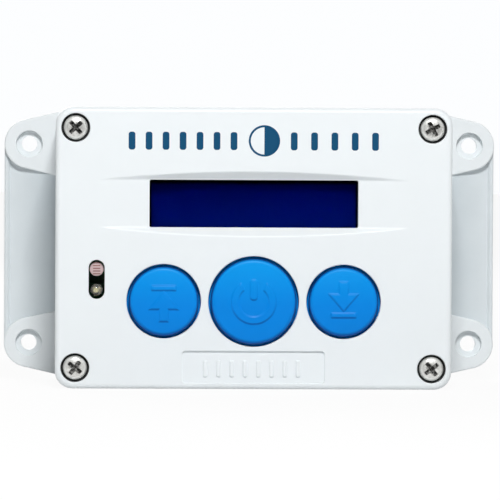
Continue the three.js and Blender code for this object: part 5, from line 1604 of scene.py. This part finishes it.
@dataclass
class LightParts(Assembly):
    """The light cell and the lamp in the slot, on wire legs."""

    centre_x: float = LIGHT_X
    cell_z: float = CELL_Z
    lamp_z: float = -13.3
    front: float = -58.4
    leg_end: float = BOARD_FACE
    leg_half: float = 0.25

    def legs(self, start: float, z: float) -> list[Surface]:
        """Two wires back to the board."""
        ends = (start, self.leg_end)
        return [post(self.leg_half, ends, (self.centre_x + side * 1.27, z), 0.05, 12) for side in (-1, 1)]

    def build(self) -> None:
        """Builds the cell, its ceramic disc and the clear lamp."""
        front = self.front
        disc = [(0.0, front), (1.85, front), (2.12, front + 0.12), (2.2, front + 0.35), (2.2, front + 1.85)]
        disc += [(2.1, front + 2.0), (0.0, front + 2.0)]
        cell = turned(disc, (self.centre_x, 0.0, self.cell_z), facets=56)
        cell = total([cell, *self.legs(front + 1.9, self.cell_z)])
        self.add("light_cell", cell, FINISH.sensor, "sensor_cell", nodes=["light_sensor"])
        turn = quarter(9)
        dome = list(zip(1.5 * np.sin(turn), front + 1.5 * (1 - np.cos(turn))))
        foot = [(1.5, 3.5), (1.85, 3.55), (1.85, 4.45), (1.7, 4.5), (0.0, 4.5)]
        foot = [(radius, front + back) for radius, back in foot]
        lamp = turned([*dome, *foot], (self.centre_x, 0.0, self.lamp_z), facets=48)
        self.add("lamp_lens", lamp, FINISH.led, "led_clear", nodes=["status_led"])
        x, z = self.centre_x, self.lamp_z
        plates = [
            brick((x + left, x + right), (front + top, front + 4.3), (z - 0.3, z + 0.3), 0.1)
            for left, right, top in ((-0.75, -0.1, 1.0), (0.15, 0.6, 1.3))
        ]
        cup = [(0.0, front + 0.95), (0.6, front + 0.8), (0.75, front + 1.3), (0.0, front + 1.5)]
        chip = total([*plates, turned(cup, (x - 0.3, 0.0, z), facets=24)])
        self.add("lamp_chip", chip, FINISH.chip, "led_clear")
        self.add("lamp_wires", total(self.legs(front + 4.45, z)), FINISH.contact, "led_clear")


@dataclass
class Eyelet(Assembly):
    """The black bush that the cord leaves through, with a trumpet mouth."""

    bore: float = 3.5

    def build(self) -> None:
        """Builds the eyelet: a flange and a barrel round a bore that flares at both ends."""
        turn = quarter(7)
        mouth = list(zip(self.bore + 1.2 * (1 - np.sin(turn)), -44.0 + 1.2 * (1 - np.cos(turn))))
        far = list(zip(self.bore + 0.9 * (1 - np.cos(turn)), -39.2 + 0.9 * np.sin(turn)))
        outside = [(5.0, -38.5), (5.0, -42.6), (6.9, -42.6), (7.0, -42.7), (7.0, -43.7), (6.7, -44.0)]
        piece = turned([*mouth, *far, *outside], (*EYELET_SPOT, 0.0), Axis.Z, 72, hollow=True)
        self.add("cord_bush", piece, FINISH.black, "black_plastic", nodes=["cord_eyelet"])


@dataclass
class InnerParts(Assembly):
    """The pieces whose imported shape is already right: each keeps its mesh and takes a finish."""

    finishes: dict[Finish, str] = field(default_factory=lambda: {
        FINISH.board: "main_board",
        FINISH.black: "lcd_header microcontroller buzzer battery_holder motor_end_cap spool",
        FINISH.nylon: "power_connector motor_connector",
        FINISH.wrap: "battery_1 battery_2 battery_3 battery_4",
        FINISH.contact: "contact_negative contact_positive "
                        "contact_bridge_1 contact_bridge_2 contact_bridge_3",
        FINISH.red: "battery_lead_red",
        FINISH.dark: "battery_lead_black motor_lead",
        FINISH.plate: "gearbox_plate_left gearbox_plate_right",
        FINISH.brass: "gearbox_spacer_1 gearbox_spacer_2 motor_pinion spool_bush",
        FINISH.pin: "board_screw_1 board_screw_2 idler_pin_1 idler_pin_2 motor_shaft spool_shaft",
        FINISH.can: "motor_can",
        FINISH.acetal: "idler_gear_1 idler_gear_2 output_gear",
    })

    def build(self) -> None:
        """Gives each kept node its finish and softens its edges."""
        kept = [(name, finish) for finish, names in self.finishes.items() for name in names.split()]
        for name, finish in kept:
            piece = bpy.data.objects[name]
            if not piece.material_slots:
                piece.data.materials.append(None)
            for slot in piece.material_slots:
                slot.material = finish.build()
            weld = piece.modifiers.new("weld", "WELD")
            weld.merge_threshold = 2e-6
            bevel = piece.modifiers.new("edges", "BEVEL")
            bevel.width = 0.00008
            bevel.segments = 2
            bevel.limit_method = "ANGLE"
            bevel.angle_limit = math.radians(40)
            LOG.info("%s keeps its packed mesh in %s", name, finish.name)


# ------------------------------------------------------------------ studio
@dataclass
class Studio:
    """Floor, lamps, surroundings and the camera."""

    aim: Triple = (-1.23, -60.0, -0.47)
    distance: float = 1600.0
    azimuth: float = -1.6
    elevation: float = 1.5
    roll: float = 0.3
    lens: float = 369.0
    floor_z: float = -44.0
    glow: float = 0.93
    sky: float = 0.27
    lamps: tuple[tuple[str, Triple, float, float, Triple], ...] = (
        ("main_lamp", (20.0, -790.0, 560.0), 150.0, 6.25, (0.0, -50.0, 0.0)),
        ("back_lamp", (-350.0, 950.0, 620.0), 500.0, 7.0, (0.0, 0.0, 0.0)),
        ("front_fill", (620.0, -900.0, 260.0), 420.0, 0.4, (0.0, -50.0, 0.0)),
    )

    def floor(self) -> None:
        """The pale floor: it takes the object's shadow, and reads near white to the camera."""
        x, y = np.meshgrid(np.linspace(-4000, 4000, 9), np.linspace(-4000, 4000, 9), indexing="ij")
        points = np.stack([x, y, np.full_like(x, self.floor_z - 0.05)], axis=-1).reshape(-1, 3)
        mesh = bpy.data.meshes.new("studio_floor")
        mesh.from_pydata((points * MM).tolist(), [], grid_faces(9, 9, closed=False))
        piece = bpy.data.objects.new("studio_floor", mesh)
        bpy.context.scene.collection.objects.link(piece)
        material = bpy.data.materials.new("floor_paint")
        material.use_nodes = True
        nodes = Nodes(material.node_tree)
        material.node_tree.nodes.clear()
        rays = nodes.add("ShaderNodeLightPath").outputs
        pale = nodes.remap(rays["Is Glossy Ray"], 0.0, 1.0, 0.8, 0.0)
        paint = nodes.add("ShaderNodeBsdfDiffuse", Color=pale)
        light = nodes.add("ShaderNodeEmission", Color=(1.0, 1.0, 1.0, 1.0), Strength=1.0)
        near = nodes.remap(nodes.axes()[1], -0.45, -0.15)
        shown = nodes.math("MAXIMUM", rays["Is Glossy Ray"], rays["Is Transmission Ray"])
        seen = nodes.math("MAXIMUM", rays["Is Camera Ray"], nodes.times(shown, near))
        seen = nodes.times(seen, self.glow)
        both = nodes.add("ShaderNodeMixShader", i0=seen, i1=paint.outputs[0], i2=light.outputs[0])
        nodes.add("ShaderNodeOutputMaterial", Surface=both.outputs[0])
        mesh.materials.append(material)

    def surroundings(self) -> None:
        """A soft room, dark at the front, with a backdrop that is white where it is seen."""
        world = bpy.data.worlds.new("studio_sky")
        bpy.context.scene.world = world
        world.use_nodes = True
        world.node_tree.nodes.clear()
        nodes = Nodes(world.node_tree)
        rays = nodes.add("ShaderNodeLightPath").outputs
        way = nodes.add("ShaderNodeTexCoord").outputs["Generated"]
        ahead = nodes.add("ShaderNodeSeparateXYZ", Vector=way).outputs["Y"]
        room = nodes.remap(ahead, -0.97, -0.55, 0.0, self.sky)
        shown = nodes.math("MAXIMUM", rays["Is Glossy Ray"], rays["Is Transmission Ray"])
        backdrop = nodes.times(shown, nodes.remap(ahead, -0.1, 0.3))
        seen = nodes.math("MAXIMUM", rays["Is Camera Ray"], backdrop)
        strength = nodes.math("MAXIMUM", seen, room)
        sky = nodes.add("ShaderNodeBackground", Color=(0.98, 0.99, 1.0, 1.0), Strength=strength)
        nodes.add("ShaderNodeOutputWorld", Surface=sky.outputs[0])

    def lamp(self, name: str, place: Triple, size: float, power: float, target: Triple) -> None:
        """A square soft lamp that faces a target.

        Args:
            name: the lamp's name.
            place: its place in millimetres.
            size: its side in millimetres.
            power: its power in watts.
            target: the point that it faces.
        """
        data = bpy.data.lights.new(name, "AREA")
        data.shape = "SQUARE"
        data.size = size * MM
        data.energy = power
        lamp = bpy.data.objects.new(name, data)
        lamp.location = Vector(place) * MM
        lamp.rotation_euler = (Vector(target) - Vector(place)).to_track_quat("-Z", "Y").to_euler()
        bpy.context.scene.collection.objects.link(lamp)

    def camera(self) -> None:
        """The camera: a long lens almost square to the face."""
        turn, rise = math.radians(self.azimuth), math.radians(self.elevation)
        away = Vector((math.sin(turn) * math.cos(rise), -math.cos(turn) * math.cos(rise), math.sin(rise)))
        data = bpy.data.cameras.new("view")
        data.lens = self.lens
        data.sensor_width = 36.0
        data.clip_end = 100.0
        camera = bpy.data.objects.new("view", data)
        camera.location = (Vector(self.aim) + away * self.distance) * MM
        facing = (-away).to_track_quat("-Z", "Y").to_matrix()
        camera.rotation_euler = (facing @ Euler((0.0, 0.0, math.radians(self.roll))).to_matrix()).to_euler()
        bpy.context.scene.collection.objects.link(camera)
        bpy.context.scene.camera = camera

    def build(self) -> None:
        """Sets up the camera, the floor, the sky and the lamps."""
        bpy.context.scene.view_settings.view_transform = "Standard"
        self.camera()
        self.floor()
        self.surroundings()
        for lamp in self.lamps:
            self.lamp(*lamp)


def main() -> None:
    """Builds the opener unit."""
    logging.basicConfig(level=logging.INFO, format="%(name)s: %(message)s")
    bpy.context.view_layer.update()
    make_effects()
    Studio().build()
    groups: list[Assembly] = [
        LidShell(),
        BaseShell(),
        Seal(),
        LidScrews(),
        Display(),
        *(Button(icon, *hole) for icon, hole in zip(Icon, BUTTON_HOLES)),
        LightParts(),
        Eyelet(),
        InnerParts(),
    ]
    for group in groups:
        LOG.info("building %s", type(group).__name__)
        group.build()
    bpy.context.view_layer.update()


if __name__ == "__main__":
    main()
